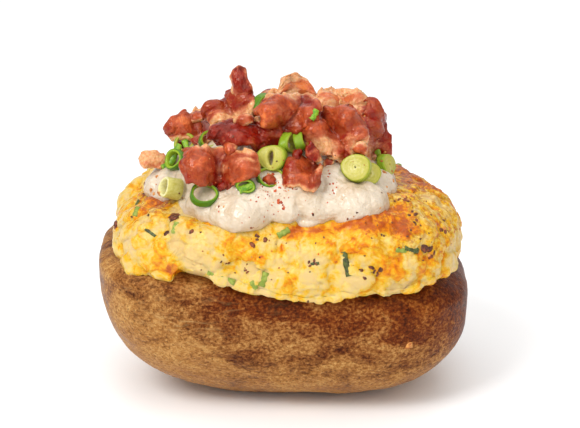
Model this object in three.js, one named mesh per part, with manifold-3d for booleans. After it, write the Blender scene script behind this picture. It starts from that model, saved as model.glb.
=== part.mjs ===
// A loaded baked potato: a scooped potato skin heaped with cheese and potato filling, a dollop of sour cream,
// torn pieces of crisp bacon and slices of spring onion.
// Millimetres, +Z up. The origin is the middle of the flat spot that the potato rests on. +X runs along the
// potato, and -Y is its front, where the filling hangs lowest over the skin.

import * as THREE from "three";
import { mergeVertices } from "three/addons/utils/BufferGeometryUtils.js";
import Module from "manifold-3d";

const wasm = await Module();
wasm.setup();

// ---- Driving dimensions ----

const GAP = 0.3; // left between pieces that touch
const SINK = 2; // how deep a topping presses into the sour cream

// The potato: half sizes about its widest level, how square its outlines are (2 is an ellipse) and how much lower
// its right end sits.
const POTATO = { long: 59.4, deep: 38, up: 12, down: 40.3, level: 39.2, plan: 3.2, side: 2.35, droop: 0.093, detail: 7 };
const POTATO_LUMPS = [{ size: 50, height: 1.1 }, { size: 15, height: 0.5 }];
const WALL = 6; // skin and the flesh left on it
const SCOOP_DETAIL = 3;
const CORE_TOP = 46; // the filling in the scoop is flat here, under the heap

// The rim of the skin is this far under the widest line of the heap on it.
const RIM_DROP = 3;
const RIM_GRID = { along: 24, across: 8 };

// The heap of filling on the rim: half sizes, top level, and how far it reaches under its widest line.
const HEAP = { long: 54.6, deep: 39.8, middle: 0.9, top: 71.5, floor: 47, under: 4, plan: 3, side: 2.8, detail: 7 };
// The widest line of the heap, from the left end to the right end: [along, height] in front and behind.
const LIP_FRONT = [
  [-62, 53.5], [-54, 52.5], [-51, 50.2], [-48, 49.2], [-36, 49], [-33, 52.6], [-27, 52.2], [-19, 49.6],
  [-10, 47.2], [-1, 45.2], [6, 44.4], [14, 44.6], [19, 46.2], [36, 46], [44, 47.4], [50, 47.6], [60, 46.6],
];
const LIP_BEHIND = [[-62, 53.5], [-50, 51], [-30, 50], [-12, 48], [6, 46.5], [20, 48.5], [36, 46], [50, 45.6], [60, 46]];
const FILLING_LUMPS = [{ size: 15, height: 1.4 }, { size: 8, height: 1 }];

// The dollop of sour cream: a broad pillow with a softer peak on it, and lobes round its edge.
const CREAM = { long: 38.2, deep: 32, up: 10.5, down: 9, level: 68, plan: 2.3, side: 2.5, detail: 5 };
const CREAM_PEAK = { height: 11.5, spread: 0.6 };
const CREAM_MIDDLE = { x: -1.9, y: -0.5 };
const CREAM_LOBES = [{ count: 5, share: 0.045, turn: 3.4 }, { count: 11, share: 0.025, turn: 1.9 }];
const CREAM_SWELLS = { size: 14, height: 0.8 };

const BACON_THICK = 1.8;
const BACON_CELLS = { along: 7, across: 3 };
const RING_SIDES = 10;

// How steeply the toppings in front and behind are pushed down as they are pushed in onto the heap.
const LEAN = THREE.MathUtils.degToRad(20);

// The toppings, in the order they are laid. from is the side each is laid from and at is where on that side: along and
// up as seen from in front or behind, or [x, y] from above. turn is its heading, tilt and roll in degrees.
// A piece of bacon has its length along the crinkles and its width across them. waves is how many crinkles it has,
// bend (degrees) how steep they are, phase where they start, curl (degrees) how far the whole piece rolls up,
// dome how far its long edges fall away and taper how much narrower its two ends are.
// A slice of spring onion has a radius, a wall, a height and how oval it is.
const TOPPINGS = [
  { name: "onion_left_wide", from: "front", at: [-35, 61.6], turn: [-20, 62, -48],
    radius: 4.8, wall: 1.3, height: 5.2, oval: 0.72 },
  { name: "onion_cream_ring", from: "front", at: [-24.3, 58.6], turn: [4, 40, 4],
    radius: 4.5, wall: 0.9, height: 2.8, oval: 0.9 },
  { name: "onion_cream_bit", from: "front", at: [-11.5, 61.6], turn: [-30, 70, 30],
    radius: 3.2, wall: 1, height: 2.6, oval: 0.7 },
  { name: "onion_pale_under", from: "front", at: [26.5, 66.2], turn: [10, 60, 20],
    radius: 4.2, wall: 1.5, height: 2.4, oval: 0.85 },
  { name: "onion_pale_disc", from: "front", at: [22.5, 67.8], turn: [-6, 60, -6],
    radius: 4.8, wall: 2.2, height: 3, oval: 0.92 },
  { name: "onion_right_lower", from: "above", at: [32.6, -6], turn: [20, 66, 40],
    radius: 4.3, wall: 1.5, height: 2.6, oval: 0.85 },
  { name: "bacon_left_slab", from: "front", at: [-41.4, 70.6], turn: [10, 48, 8],
    length: 9.5, width: 7, waves: 0.5, bend: 16, phase: 90, curl: 10, dome: 0.6, taper: [0.1, 0.1] },
  { name: "bacon_front_chip", from: "front", at: [5.9, 66], turn: [-24, 50, -6],
    length: 13.5, width: 12, waves: 0.9, bend: 40, phase: 120, curl: 20, dome: 1.6, taper: [0.2, 0.2] },
  { name: "bacon_front_fold", from: "front", at: [-19.4, 68.4], turn: [2, 54, -2],
    length: 29, width: 14, waves: 1.5, bend: 52, phase: 90, curl: 20, dome: 2.2, taper: [0.1, 0.25] },
  { name: "onion_front_arc", from: "front", at: [-4.1, 64.6], turn: [0, 40, 6],
    radius: 4.2, wall: 0.9, height: 2.4, oval: 0.88 },
  { name: "onion_front_slit", from: "front", at: [-3.5, 70.8], turn: [-8, 66, -10],
    radius: 4.8, wall: 2.1, height: 3.4, oval: 0.86 },
  { name: "onion_right_upper", from: "above", at: [31, 2], turn: [24, 72, 42],
    radius: 4.2, wall: 1.4, height: 2.6, oval: 0.85 },
  { name: "onion_left_lower", from: "front", at: [-33.9, 70.6], turn: [-20, 60, -30],
    radius: 4.4, wall: 1.3, height: 3.4, oval: 0.8 },
  { name: "bacon_right_strand", from: "front", at: [9.1, 72.6], turn: [66, 52, 6],
    length: 16, width: 8, waves: 1, bend: 46, phase: 90, curl: 20, dome: 1, taper: [0.2, 0.4] },
  { name: "onion_middle_left", from: "front", at: [1.2, 75.6], turn: [40, 80, 30],
    radius: 3.9, wall: 1.1, height: 3, oval: 0.8 },
  { name: "onion_middle_right", from: "front", at: [5, 76.2], turn: [80, 74, 10],
    radius: 3.9, wall: 1.1, height: 3, oval: 0.8 },
  { name: "onion_left_upper", from: "front", at: [-31.9, 76.4], turn: [30, 50, -30],
    radius: 3.8, wall: 1.2, height: 3, oval: 0.8 },
  { name: "onion_tucked_left", from: "front", at: [-23.9, 77], turn: [20, 56, 0],
    radius: 3.2, wall: 0.9, height: 2.6, oval: 0.9 },
  { name: "bacon_right_fold", from: "front", at: [16, 79], turn: [2, 50, 4],
    length: 26, width: 19, waves: 1.5, bend: 50, phase: 90, curl: 20, dome: 2.2, taper: [0.15, 0.1] },
  { name: "bacon_middle_leaf", from: "front", at: [-12, 78.8], turn: [12, 52, -10],
    length: 26, width: 16, waves: 0.9, bend: 36, phase: 140, curl: 24, dome: 1.6, taper: [0.75, 0.3] },
  { name: "bacon_right_end", from: "above", at: [28.8, 1], turn: [10, 62, 20],
    length: 15, width: 21, waves: 0.9, bend: 46, phase: 120, curl: 20, dome: 1.8, taper: [0.1, 0.3] },
  { name: "bacon_left_flake", from: "above", at: [-32.5, 10], turn: [14, 58, -14],
    length: 13.5, width: 12, waves: 0.6, bend: 30, phase: 120, curl: 20, dome: 1.2, taper: [0.6, 0.1] },
  { name: "onion_behind_low", from: "behind", at: [-12.5, 60], turn: [170, 48, -10],
    radius: 4.6, wall: 1.6, height: 3, oval: 0.9 },
  { name: "onion_behind_right", from: "behind", at: [16.5, 62], turn: [150, 56, 20],
    radius: 4.3, wall: 1.2, height: 3, oval: 0.8 },
  { name: "onion_behind_left", from: "behind", at: [-31.5, 64], turn: [190, 50, 10],
    radius: 4.4, wall: 1, height: 2.8, oval: 0.85 },
  { name: "bacon_behind_left", from: "behind", at: [-21, 66.5], turn: [150, 52, 16],
    length: 25, width: 17, waves: 1.3, bend: 52, phase: 90, curl: 15, dome: 2, taper: [0.15, 0.2] },
  { name: "bacon_behind_right", from: "behind", at: [2.5, 67], turn: [212, 56, -12],
    length: 24, width: 15, waves: 1.2, bend: 50, phase: 60, curl: 20, dome: 2, taper: [0.15, 0.2] },
  { name: "bacon_behind_end", from: "behind", at: [22, 67.5], turn: [164, 48, -18],
    length: 20, width: 15, waves: 1, bend: 44, phase: 120, curl: 20, dome: 1.6, taper: [0.3, 0.2] },
  { name: "onion_behind_middle", from: "behind", at: [-8.5, 72], turn: [160, 60, -10],
    radius: 4.1, wall: 1.1, height: 3, oval: 0.85 },
  { name: "bacon_back_flap", from: "above", at: [-9, 17], turn: [198, 40, 14],
    length: 26, width: 16, waves: 1.5, bend: 44, phase: 80, curl: 20, dome: 1.6, taper: [0.2, 0.3] },
  { name: "bacon_back_right", from: "behind", at: [12.5, 76.5], turn: [160, 52, -14],
    length: 23, width: 17, waves: 1.1, bend: 48, phase: 90, curl: 20, dome: 1.8, taper: [0.15, 0.2] },
  { name: "bacon_centre_fold", from: "front", at: [1, 85.4], turn: [14, 48, 4],
    length: 25, width: 16.5, waves: 1.4, bend: 48, phase: 60, curl: 20, dome: 1.8, taper: [0.6, 0.15] },
  { name: "bacon_left_ridge", from: "above", at: [-17.2, 4], turn: [8, 34, -25],
    length: 21.5, width: 18, waves: 1.4, bend: 48, phase: 90, curl: 25, dome: 1.8, taper: [0.7, 0.2] },
  { name: "bacon_top_right", from: "above", at: [18.3, 8.5], turn: [-4, 50, 8],
    length: 20, width: 13, waves: 1.4, bend: 40, phase: 90, curl: 10, dome: 1, taper: [0.1, 0.2] },
  { name: "onion_tucked_right", from: "above", at: [8.5, -3], turn: [30, 60, 0],
    radius: 3, wall: 0.9, height: 2.6, oval: 0.85 },
  { name: "bacon_top_flap", from: "above", at: [4, 8], turn: [12, 66, 10],
    length: 17, width: 31, waves: 0.7, bend: 30, phase: 180, curl: 20, dome: 0.8, taper: [0.9, 0.9] },
  { name: "onion_top", from: "above", at: [-6.3, 3], turn: [50, 86, 0], radius: 5.3, wall: 1.1, height: 3, oval: 0.64 },
  { name: "bacon_upright_curl", from: "above", at: [-12.4, 5], turn: [82, -16, -86],
    length: 18, width: 9.5, waves: 0.9, bend: 22, phase: 30, curl: 30, dome: 1.4, taper: [0.6, 0.75] },
];

// Bits of chive that stand out of the filling: [direction round the heap, height above its widest line] in degrees.
const CHIVE = { radius: 0.9, length: 4.6, sides: 6 };
const CHIVES = [[-58, 22], [-98, 14], [-118, 26], [-30, 24], [-152, 20], [40, 24], [85, 20], [130, 22], [170, 30]];

const COLOURS = {
  skin: { color: 0x7a4a26, roughness: 0.5 },
  filling: { color: 0xf0b94a, roughness: 0.6 },
  cream: { color: 0xf7f0e6, roughness: 0.35 },
  bacon: { color: 0xa33a22, roughness: 0.35 },
  onion: { color: 0x8fb83a, roughness: 0.4 },
};

// ---- Plain geometry helpers ----

// A fixed value from 0 to 1 for each corner of a lattice.
function cornerValue(i, j, k) {
  const mixed = Math.sin(i * 127.1 + j * 311.7 + k * 74.7) * 43758.5453;
  return mixed - Math.floor(mixed);
}

// Smooth unevenness from -1 to 1, with bumps about `size` apart.
function unevenness(p, size) {
  const [x, y, z] = [p.x / size, p.y / size, p.z / size];
  const [i, j, k] = [Math.floor(x), Math.floor(y), Math.floor(z)];
  const smooth = (t) => t * t * (3 - 2 * t);
  const [u, v, w] = [smooth(x - i), smooth(y - j), smooth(z - k)];
  const mix = THREE.MathUtils.lerp;
  const edge = (dj, dk) => mix(cornerValue(i, j + dj, k + dk), cornerValue(i + 1, j + dj, k + dk), u);
  const face = (dk) => mix(edge(0, dk), edge(1, dk), v);
  return 2 * mix(face(0), face(1), w) - 1;
}

// The height of a polyline of [along, height] corners, eased between them.
function profileAt(corners, along) {
  const last = corners.length - 1;
  if (along <= corners[0][0]) return corners[0][1];
  if (along >= corners[last][0]) return corners[last][1];
  const next = corners.findIndex(([x]) => x > along);
  const [[x0, h0], [x1, h1]] = [corners[next - 1], corners[next]];
  return THREE.MathUtils.lerp(h0, h1, THREE.MathUtils.smoothstep(along, x0, x1));
}

// A closed geometry as a solid that can be joined and cut.
function solidFrom(geometry) {
  const bare = new THREE.BufferGeometry().setAttribute("position", geometry.getAttribute("position"));
  if (geometry.index) bare.setIndex(geometry.index);
  const merged = mergeVertices(bare, 1e-4);
  return new wasm.Manifold(
    new wasm.Mesh({
      numProp: 3,
      vertProperties: new Float32Array(merged.attributes.position.array),
      triVerts: new Uint32Array(merged.index.array),
    }),
  );
}

function geometryFrom(solid) {
  const mesh = solid.getMesh();
  const geometry = new THREE.BufferGeometry()
    .setAttribute("position", new THREE.BufferAttribute(new Float32Array(mesh.vertProperties), 3))
    .setIndex(new THREE.BufferAttribute(new Uint32Array(mesh.triVerts), 1));
  geometry.computeVertexNormals();
  return geometry;
}

// The largest of a solid's bodies, without the scraps that a cut may leave.
function largestBody(solid) {
  return solid.decompose().reduce((best, body) => (body.volume() > best.volume() ? body : best));
}

// A closed skin: each point of an even sphere is moved to where `place` puts that direction, and the whole
// skin is then grown outwards.
function blob(detail, place, grow) {
  const sphere = new THREE.IcosahedronGeometry(1, detail);
  sphere.deleteAttribute("normal").deleteAttribute("uv");
  const geometry = mergeVertices(sphere, 1e-4);
  const points = geometry.getAttribute("position");
  const point = new THREE.Vector3();
  for (let i = 0; i < points.count; i++) {
    point.copy(place(point.fromBufferAttribute(points, i).normalize()));
    points.setXYZ(i, point.x, point.y, point.z);
  }
  geometry.computeVertexNormals();
  const out = new THREE.Vector3();
  for (let i = 0; i < points.count; i++) {
    out.fromBufferAttribute(geometry.getAttribute("normal"), i);
    point.fromBufferAttribute(points, i).addScaledVector(out, grow);
    points.setXYZ(i, point.x, point.y, point.z);
  }
  return solidFrom(geometry);
}

// The point of a rounded box of half sizes long, deep, up and down in one direction, with 1 as its full size.
function roundedPoint(direction, shape) {
  const flat = Math.abs(direction.x) ** shape.plan + Math.abs(direction.y) ** shape.plan;
  const sum = flat ** (shape.side / shape.plan) + Math.abs(direction.z) ** shape.side;
  const reach = sum ** (-1 / shape.side);
  const unit = direction.clone().multiplyScalar(reach);
  const tall = unit.z > 0 ? shape.up : shape.down;
  const point = new THREE.Vector3(unit.x * shape.long, unit.y * shape.deep, unit.z * tall);
  return { point, share: Math.hypot(unit.x, unit.y), rise: unit.z };
}

// Lumps of several sizes added up.
function lumpiness(at, lumps) {
  return lumps.reduce((sum, { size, height }) => sum + unevenness(at, size) * height, 0);
}

// ---- Potato skin ----

// How far a place is behind the middle: 0 in front, 1 behind.
function behindShare(y) {
  return THREE.MathUtils.smoothstep(y, -POTATO.deep * 0.6, POTATO.deep * 0.6);
}

// The potato's outside, flat where it rests, grown outwards.
function potato(detail, grow) {
  return blob(detail, (direction) => {
    const { point, rise } = roundedPoint(direction, POTATO);
    point.multiplyScalar(1 + lumpiness(point, POTATO_LUMPS) / POTATO.deep);
    point.z = Math.max(point.z + POTATO.level - POTATO.droop * point.x * (1 - rise ** 2), 0);
    return point;
  }, grow);
}

// Everything above the rim, as a slab whose underside is the rim.
function aboveRim() {
  const slab = new THREE.BoxGeometry(150, 110, 60, RIM_GRID.along, RIM_GRID.across, 1).translate(0, 0, 60);
  const points = slab.getAttribute("position");
  for (let i = 0; i < points.count; i++) {
    if (points.getZ(i) < 60) points.setZ(i, lipHeight(points.getX(i) - HEAP.middle, points.getY(i)) - RIM_DROP);
  }
  return solidFrom(slab);
}

// ---- Filling ----

function lipHeight(x, y) {
  return THREE.MathUtils.lerp(profileAt(LIP_FRONT, x), profileAt(LIP_BEHIND, x), behindShare(y));
}

// The point of the heap in one direction, with its hanging lip and its lumps, and the way out of the heap.
function heapPoint(direction) {
  const shape = { long: HEAP.long, deep: HEAP.deep, up: 1, down: 1, plan: HEAP.plan, side: HEAP.side };
  const { point, share, rise } = roundedPoint(direction, shape);
  const lip = THREE.MathUtils.lerp(HEAP.floor, lipHeight(point.x, point.y), share ** 4);
  const tall = rise > 0 ? HEAP.top - lip : HEAP.under;
  const at = new THREE.Vector3(point.x, point.y, lip + rise * tall);
  const away = new THREE.Vector3(point.x / HEAP.long, point.y / HEAP.deep, rise).normalize();
  at.addScaledVector(away, lumpiness(at, FILLING_LUMPS) * THREE.MathUtils.smoothstep(rise, -0.35, 0.1));
  at.x += HEAP.middle;
  return { at, away };
}

function heap(grow) {
  return blob(HEAP.detail, (direction) => heapPoint(direction).at, grow);
}

// The filling down inside the scooped skin, flat on top under the heap.
function scoopFilling() {
  const lid = new THREE.BoxGeometry(200, 200, 100).translate(0, 0, CORE_TOP + 50);
  return potato(SCOOP_DETAIL, -WALL - GAP).subtract(solidFrom(lid));
}

// A bit of chive lying half sunk in the heap, in a direction round it and up from its widest line, in degrees.
function chive([round, up], index) {
  const [turn, climb] = [round, up].map(THREE.MathUtils.degToRad);
  const flat = new THREE.Vector3(Math.cos(turn), Math.sin(turn), 0).multiplyScalar(Math.cos(climb));
  const { at, away } = heapPoint(flat.setZ(Math.sin(climb)));
  const geometry = new THREE.CylinderGeometry(CHIVE.radius, CHIVE.radius, CHIVE.length, CHIVE.sides);
  const lie = new THREE.Quaternion().setFromUnitVectors(new THREE.Vector3(0, 0, 1), away);
  const spin = new THREE.Quaternion().setFromAxisAngle(new THREE.Vector3(0, 0, 1), index * 2.4);
  return solidFrom(geometry.applyQuaternion(lie.multiply(spin)).translate(at.x, at.y, at.z));
}

// ---- Sour cream ----

function cream(grow) {
  return blob(CREAM.detail, (direction) => {
    const { point, share } = roundedPoint(direction, CREAM);
    const around = Math.atan2(point.y, point.x);
    const lobe = CREAM_LOBES.reduce(
      (sum, { count, share: size, turn }) => sum + size * Math.cos(count * around + turn), 1);
    point.x *= THREE.MathUtils.lerp(1, lobe, share ** 2);
    point.y *= THREE.MathUtils.lerp(1, lobe, share ** 2);
    const peak = CREAM_PEAK.height * Math.exp(-((share / CREAM_PEAK.spread) ** 2));
    point.z += CREAM.level + (direction.z > 0 ? peak : 0);
    point.z += lumpiness(point, [CREAM_SWELLS]);
    return point.add(new THREE.Vector3(CREAM_MIDDLE.x, CREAM_MIDDLE.y, 0));
  }, grow);
}

// ---- Bacon ----

const LINE_STEPS = 60;

// The centre line of a crinkled strip: its slope swings to and fro, and curl bows the whole of it.
function crinkledLine(piece) {
  const [bend, phase, curl] = [piece.bend, piece.phase, piece.curl].map(THREE.MathUtils.degToRad);
  const line = [];
  const at = { x: 0, z: 0 };
  for (let i = 0; i <= LINE_STEPS; i++) {
    const share = i / LINE_STEPS;
    const slope = bend * Math.sin(2 * Math.PI * piece.waves * share + phase) + curl * (0.5 - share);
    line.push({ x: at.x, z: at.z, slope });
    at.x += (Math.cos(slope) * piece.length) / LINE_STEPS;
    at.z += (Math.sin(slope) * piece.length) / LINE_STEPS;
  }
  const middle = line.reduce((sum, p) => ({ x: sum.x + p.x, z: sum.z + p.z }), { x: 0, z: 0 });
  line.forEach((p) => {
    p.x -= middle.x / line.length;
    p.z -= middle.z / line.length;
  });
  return line;
}

// A point of the strip's middle surface, `share` (0 to 1) along it and `side` (-1 to 1) across it.
function stripPoint(piece, line, share, side) {
  const exact = share * LINE_STEPS;
  const step = THREE.MathUtils.clamp(Math.floor(exact), 0, LINE_STEPS - 1);
  const [a, b] = [line[step], line[step + 1]];
  const mix = (key) => THREE.MathUtils.lerp(a[key], b[key], exact - step);
  const slope = mix("slope");
  const ragged = 1 + 0.1 * Math.sin(share * 11 + piece.phase + side * 2);
  const [start, end] = piece.taper;
  const narrow = 1 - start * (1 - share) ** 2 - end * share ** 2;
  const half = (piece.width / 2) * narrow * ragged;
  const ruffle = 0.04 * piece.width * side * Math.sin(2 * Math.PI * piece.waves * 1.4 * share + 1);
  const lift = ruffle - piece.dome * side * side;
  return new THREE.Vector3(mix("x") - Math.sin(slope) * lift, side * half, mix("z") + Math.cos(slope) * lift);
}

function bacon(piece, grow) {
  const { along, across } = BACON_CELLS;
  const line = crinkledLine(piece);
  const nudge = 0.01;
  const longer = grow / piece.length;
  const wider = (2 * grow) / piece.width;
  const corners = [];
  for (let i = 0; i <= along; i++) {
    for (let j = 0; j <= across; j++) {
      const share = (i / along) * (1 + 2 * longer) - longer;
      const side = ((2 * j) / across - 1) * (1 + wider);
      const point = stripPoint(piece, line, share, side);
      const ahead = stripPoint(piece, line, share + nudge, side).sub(stripPoint(piece, line, share - nudge, side));
      const aside = stripPoint(piece, line, share, side + nudge).sub(stripPoint(piece, line, share, side - nudge));
      const out = ahead.cross(aside).normalize();
      const onRim = i === 0 || i === along || j === 0 || j === across;
      const half = (BACON_THICK / 2) * (onRim ? 0.65 : 1) + grow;
      corners.push(point.clone().addScaledVector(out, half), point.clone().addScaledVector(out, -half));
    }
  }
  const top = (i, j) => 2 * (i * (across + 1) + j);
  const faces = [];
  for (let i = 0; i < along; i++) {
    for (let j = 0; j < across; j++) {
      const [a, b, c, d] = [top(i, j), top(i + 1, j), top(i + 1, j + 1), top(i, j + 1)];
      faces.push(a, b, c, a, c, d, a + 1, c + 1, b + 1, a + 1, d + 1, c + 1);
    }
  }
  const rim = [];
  for (let i = 0; i < along; i++) rim.push([top(i, 0), top(i + 1, 0)]);
  for (let j = 0; j < across; j++) rim.push([top(along, j), top(along, j + 1)]);
  for (let i = along; i > 0; i--) rim.push([top(i, across), top(i - 1, across)]);
  for (let j = across; j > 0; j--) rim.push([top(0, j), top(0, j - 1)]);
  rim.forEach(([a, b]) => faces.push(a, a + 1, b + 1, a, b + 1, b));
  return closedShape(corners, faces);
}

// ---- Spring onion ----

function onion(piece, grow) {
  const corners = [];
  const faces = [];
  const half = piece.height / 2 + grow;
  const loops = [
    { reach: piece.radius + grow, height: -half },
    { reach: piece.radius * 0.96 + grow, height: half },
    { reach: piece.radius * 0.96 - piece.wall - grow, height: half },
    { reach: piece.radius - piece.wall - grow, height: -half },
  ];
  for (let i = 0; i < RING_SIDES; i++) {
    const angle = (2 * Math.PI * i) / RING_SIDES;
    const wobble = 1 + 0.04 * Math.sin(3 * angle + piece.radius * 9);
    loops.forEach(({ reach, height }) => {
      const r = reach * wobble;
      corners.push(new THREE.Vector3(r * Math.cos(angle), r * piece.oval * Math.sin(angle), height));
    });
    const [here, next] = [4 * i, 4 * ((i + 1) % RING_SIDES)];
    for (let k = 0; k < 4; k++) {
      const above = (k + 1) % 4;
      faces.push(here + k, next + k, next + above, here + k, next + above, here + above);
    }
  }
  return closedShape(corners, faces);
}

function closedShape(corners, faces) {
  return new THREE.BufferGeometry().setFromPoints(corners).setIndex(faces).toNonIndexed();
}

// ---- Laying the toppings ----

const START = 110; // how far outside a topping starts
const STRIDE = 1; // how far it is pushed between two looks
const CLOSE = 0.05; // how finely its place is then found
// A topping that would share more than this much of itself with those already there backs off, but not far.
const CROWDED = { share: 0.1, step: 0.5, most: 4 };

// A place in front of or behind the heap, seen level with the push, from [along, up].
function placeBeside([along, up], facing) {
  const out = START * Math.cos(LEAN) - up * Math.sin(LEAN);
  return new THREE.Vector3(along, facing * out, up * Math.cos(LEAN) + START * Math.sin(LEAN));
}

const SIDES = {
  front: { push: new THREE.Vector3(0, Math.cos(LEAN), -Math.sin(LEAN)), start: (at) => placeBeside(at, -1) },
  behind: { push: new THREE.Vector3(0, -Math.cos(LEAN), -Math.sin(LEAN)), start: (at) => placeBeside(at, 1) },
  above: { push: new THREE.Vector3(0, 0, -1), start: ([x, y]) => new THREE.Vector3(x, y, START + 20) },
};

// Pushes a topping until it bears on the bed, lets it back off where it is crowded, and returns where it stops.
function layDown(solid, side, at, bed, laid) {
  const { push, start } = SIDES[side];
  const spot = start(at);
  for (let step = STRIDE; step > CLOSE;) {
    const next = spot.clone().addScaledVector(push, step);
    if (solid.translate(next.toArray()).intersect(bed).isEmpty()) spot.copy(next);
    else step /= 2;
    if (spot.z < 0) throw new Error("a topping misses the heap");
  }
  const shared = () => solid.translate(spot.toArray()).intersect(laid).volume() / solid.volume();
  for (let back = 0; back < CROWDED.most && shared() > CROWDED.share; back += CROWDED.step) {
    spot.addScaledVector(push, -CROWDED.step);
  }
  return spot.toArray();
}

function turned([heading, tilt, roll]) {
  const [z, x, y] = [heading, tilt, roll].map(THREE.MathUtils.degToRad);
  return new THREE.Euler(x, y, z, "ZXY");
}

// ---- The whole ----

function makeMesh(name, geometry, { color, roughness }) {
  const mesh = new THREE.Mesh(geometry, new THREE.MeshStandardMaterial({ color, roughness, metalness: 0 }));
  mesh.name = name;
  return mesh;
}

function bakedPotato() {
  const group = new THREE.Group();
  const heaped = heap(0);
  const overHeap = heap(GAP);
  const shell = potato(POTATO.detail, 0).subtract(potato(SCOOP_DETAIL, -WALL));
  const skin = largestBody(shell.subtract(overHeap).subtract(aboveRim()));
  group.add(makeMesh("potato_skin", geometryFrom(skin), COLOURS.skin));

  const filling = CHIVES.reduce((whole, place, index) => whole.add(chive(place, index)), heaped.add(scoopFilling()));
  group.add(makeMesh("filling", geometryFrom(largestBody(filling)), COLOURS.filling));

  const bed = heaped.add(cream(-SINK));
  const toppings = new THREE.Group();
  let laid = overHeap;
  TOPPINGS.forEach((piece) => {
    const [make, look] = "radius" in piece ? [onion, COLOURS.onion] : [bacon, COLOURS.bacon];
    const turn = new THREE.Matrix4().makeRotationFromEuler(turned(piece.turn));
    const exact = solidFrom(make(piece, 0).applyMatrix4(turn));
    const spot = layDown(exact, piece.from, piece.at, bed, laid);
    const shape = largestBody(exact.translate(spot).subtract(laid));
    toppings.add(makeMesh(piece.name, geometryFrom(shape), look));
    const cleared = solidFrom(make(piece, GAP).applyMatrix4(turn)).add(exact).translate(spot);
    laid = laid.add(cleared);
  });
  const dollop = cream(0).subtract(overHeap).subtract(laid);
  group.add(makeMesh("sour_cream", geometryFrom(largestBody(dollop)), COLOURS.cream));
  group.add(toppings);
  return group;
}

export default bakedPotato();
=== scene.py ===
"""A loaded baked potato: a scooped skin heaped with cheesy filling, sour cream, bacon and spring onion.

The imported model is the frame. Each part of it is replaced here by a fine mesh of the same form, worked out
from the same named sizes, and dressed with a finish of its own. Sizes are in millimetres until a mesh is
made, and metres in the studio.
"""

from __future__ import annotations

import logging
import math
from dataclasses import dataclass, field
from enum import Enum
from itertools import product
from typing import Sequence

import bpy
import numpy as np
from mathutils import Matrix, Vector
from mathutils.bvhtree import BVHTree

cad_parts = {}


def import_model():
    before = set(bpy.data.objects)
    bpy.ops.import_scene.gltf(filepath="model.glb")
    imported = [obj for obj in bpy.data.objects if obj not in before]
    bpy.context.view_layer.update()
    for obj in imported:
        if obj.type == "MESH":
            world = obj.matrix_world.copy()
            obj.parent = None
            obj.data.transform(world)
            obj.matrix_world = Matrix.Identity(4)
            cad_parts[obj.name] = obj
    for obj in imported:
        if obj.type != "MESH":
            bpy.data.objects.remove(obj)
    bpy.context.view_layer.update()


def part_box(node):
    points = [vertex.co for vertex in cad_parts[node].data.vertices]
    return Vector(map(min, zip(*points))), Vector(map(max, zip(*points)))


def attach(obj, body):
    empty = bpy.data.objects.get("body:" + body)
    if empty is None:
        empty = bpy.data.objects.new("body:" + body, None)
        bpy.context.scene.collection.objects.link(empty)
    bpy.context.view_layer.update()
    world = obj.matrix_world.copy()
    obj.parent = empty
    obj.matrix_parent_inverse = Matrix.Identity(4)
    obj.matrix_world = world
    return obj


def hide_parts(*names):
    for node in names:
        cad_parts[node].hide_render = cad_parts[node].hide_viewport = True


LOG = logging.getLogger("baked_potato")
MM = 0.001
# How steeply the front and the back are looked down on, where places are given as seen.
VIEW_LEAN = math.radians(20)
Stops = Sequence[tuple[float, str]]
Settings = dict[str | int, object]
Triple = tuple[float, float, float]


# ---- Colours and nodes ----


def linear(hex_colour: str) -> tuple[float, float, float, float]:
    """Turns an sRGB hex colour into linear light.

    Args:
        hex_colour: The colour as "#rrggbb".

    Returns:
        Red, green, blue and a full alpha.
    """
    levels = [int(hex_colour[i : i + 2], 16) / 255 for i in (1, 3, 5)]
    red, green, blue = [v / 12.92 if v <= 0.04045 else ((v + 0.055) / 1.055) ** 2.4 for v in levels]
    return red, green, blue, 1.0


def add_node(tree: bpy.types.NodeTree, kind: str, settings: Settings, stops: Stops = ()) -> bpy.types.Node:
    """Adds a shader node.

    Args:
        tree: The tree it goes into.
        kind: The node's class name, without ShaderNode.
        settings: What is set on it or feeds it, by socket name, socket number or property name.
        stops: The places and colours of a colour ramp.

    Returns:
        The new node.
    """
    node = tree.nodes.new(f"ShaderNode{kind}")
    for name, value in settings.items():
        if isinstance(value, Value):
            tree.links.new(value.socket, node.inputs[name])
        elif isinstance(name, int) or name in node.inputs:
            node.inputs[name].default_value = linear(value) if isinstance(value, str) else value
        else:
            setattr(node, name, value)
    if stops:
        elements = node.color_ramp.elements
        while len(elements) < len(stops):
            elements.new(1.0)
        for element, (place, colour) in zip(elements, stops):
            element.position = place
            element.color = linear(colour)
    return node


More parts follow.
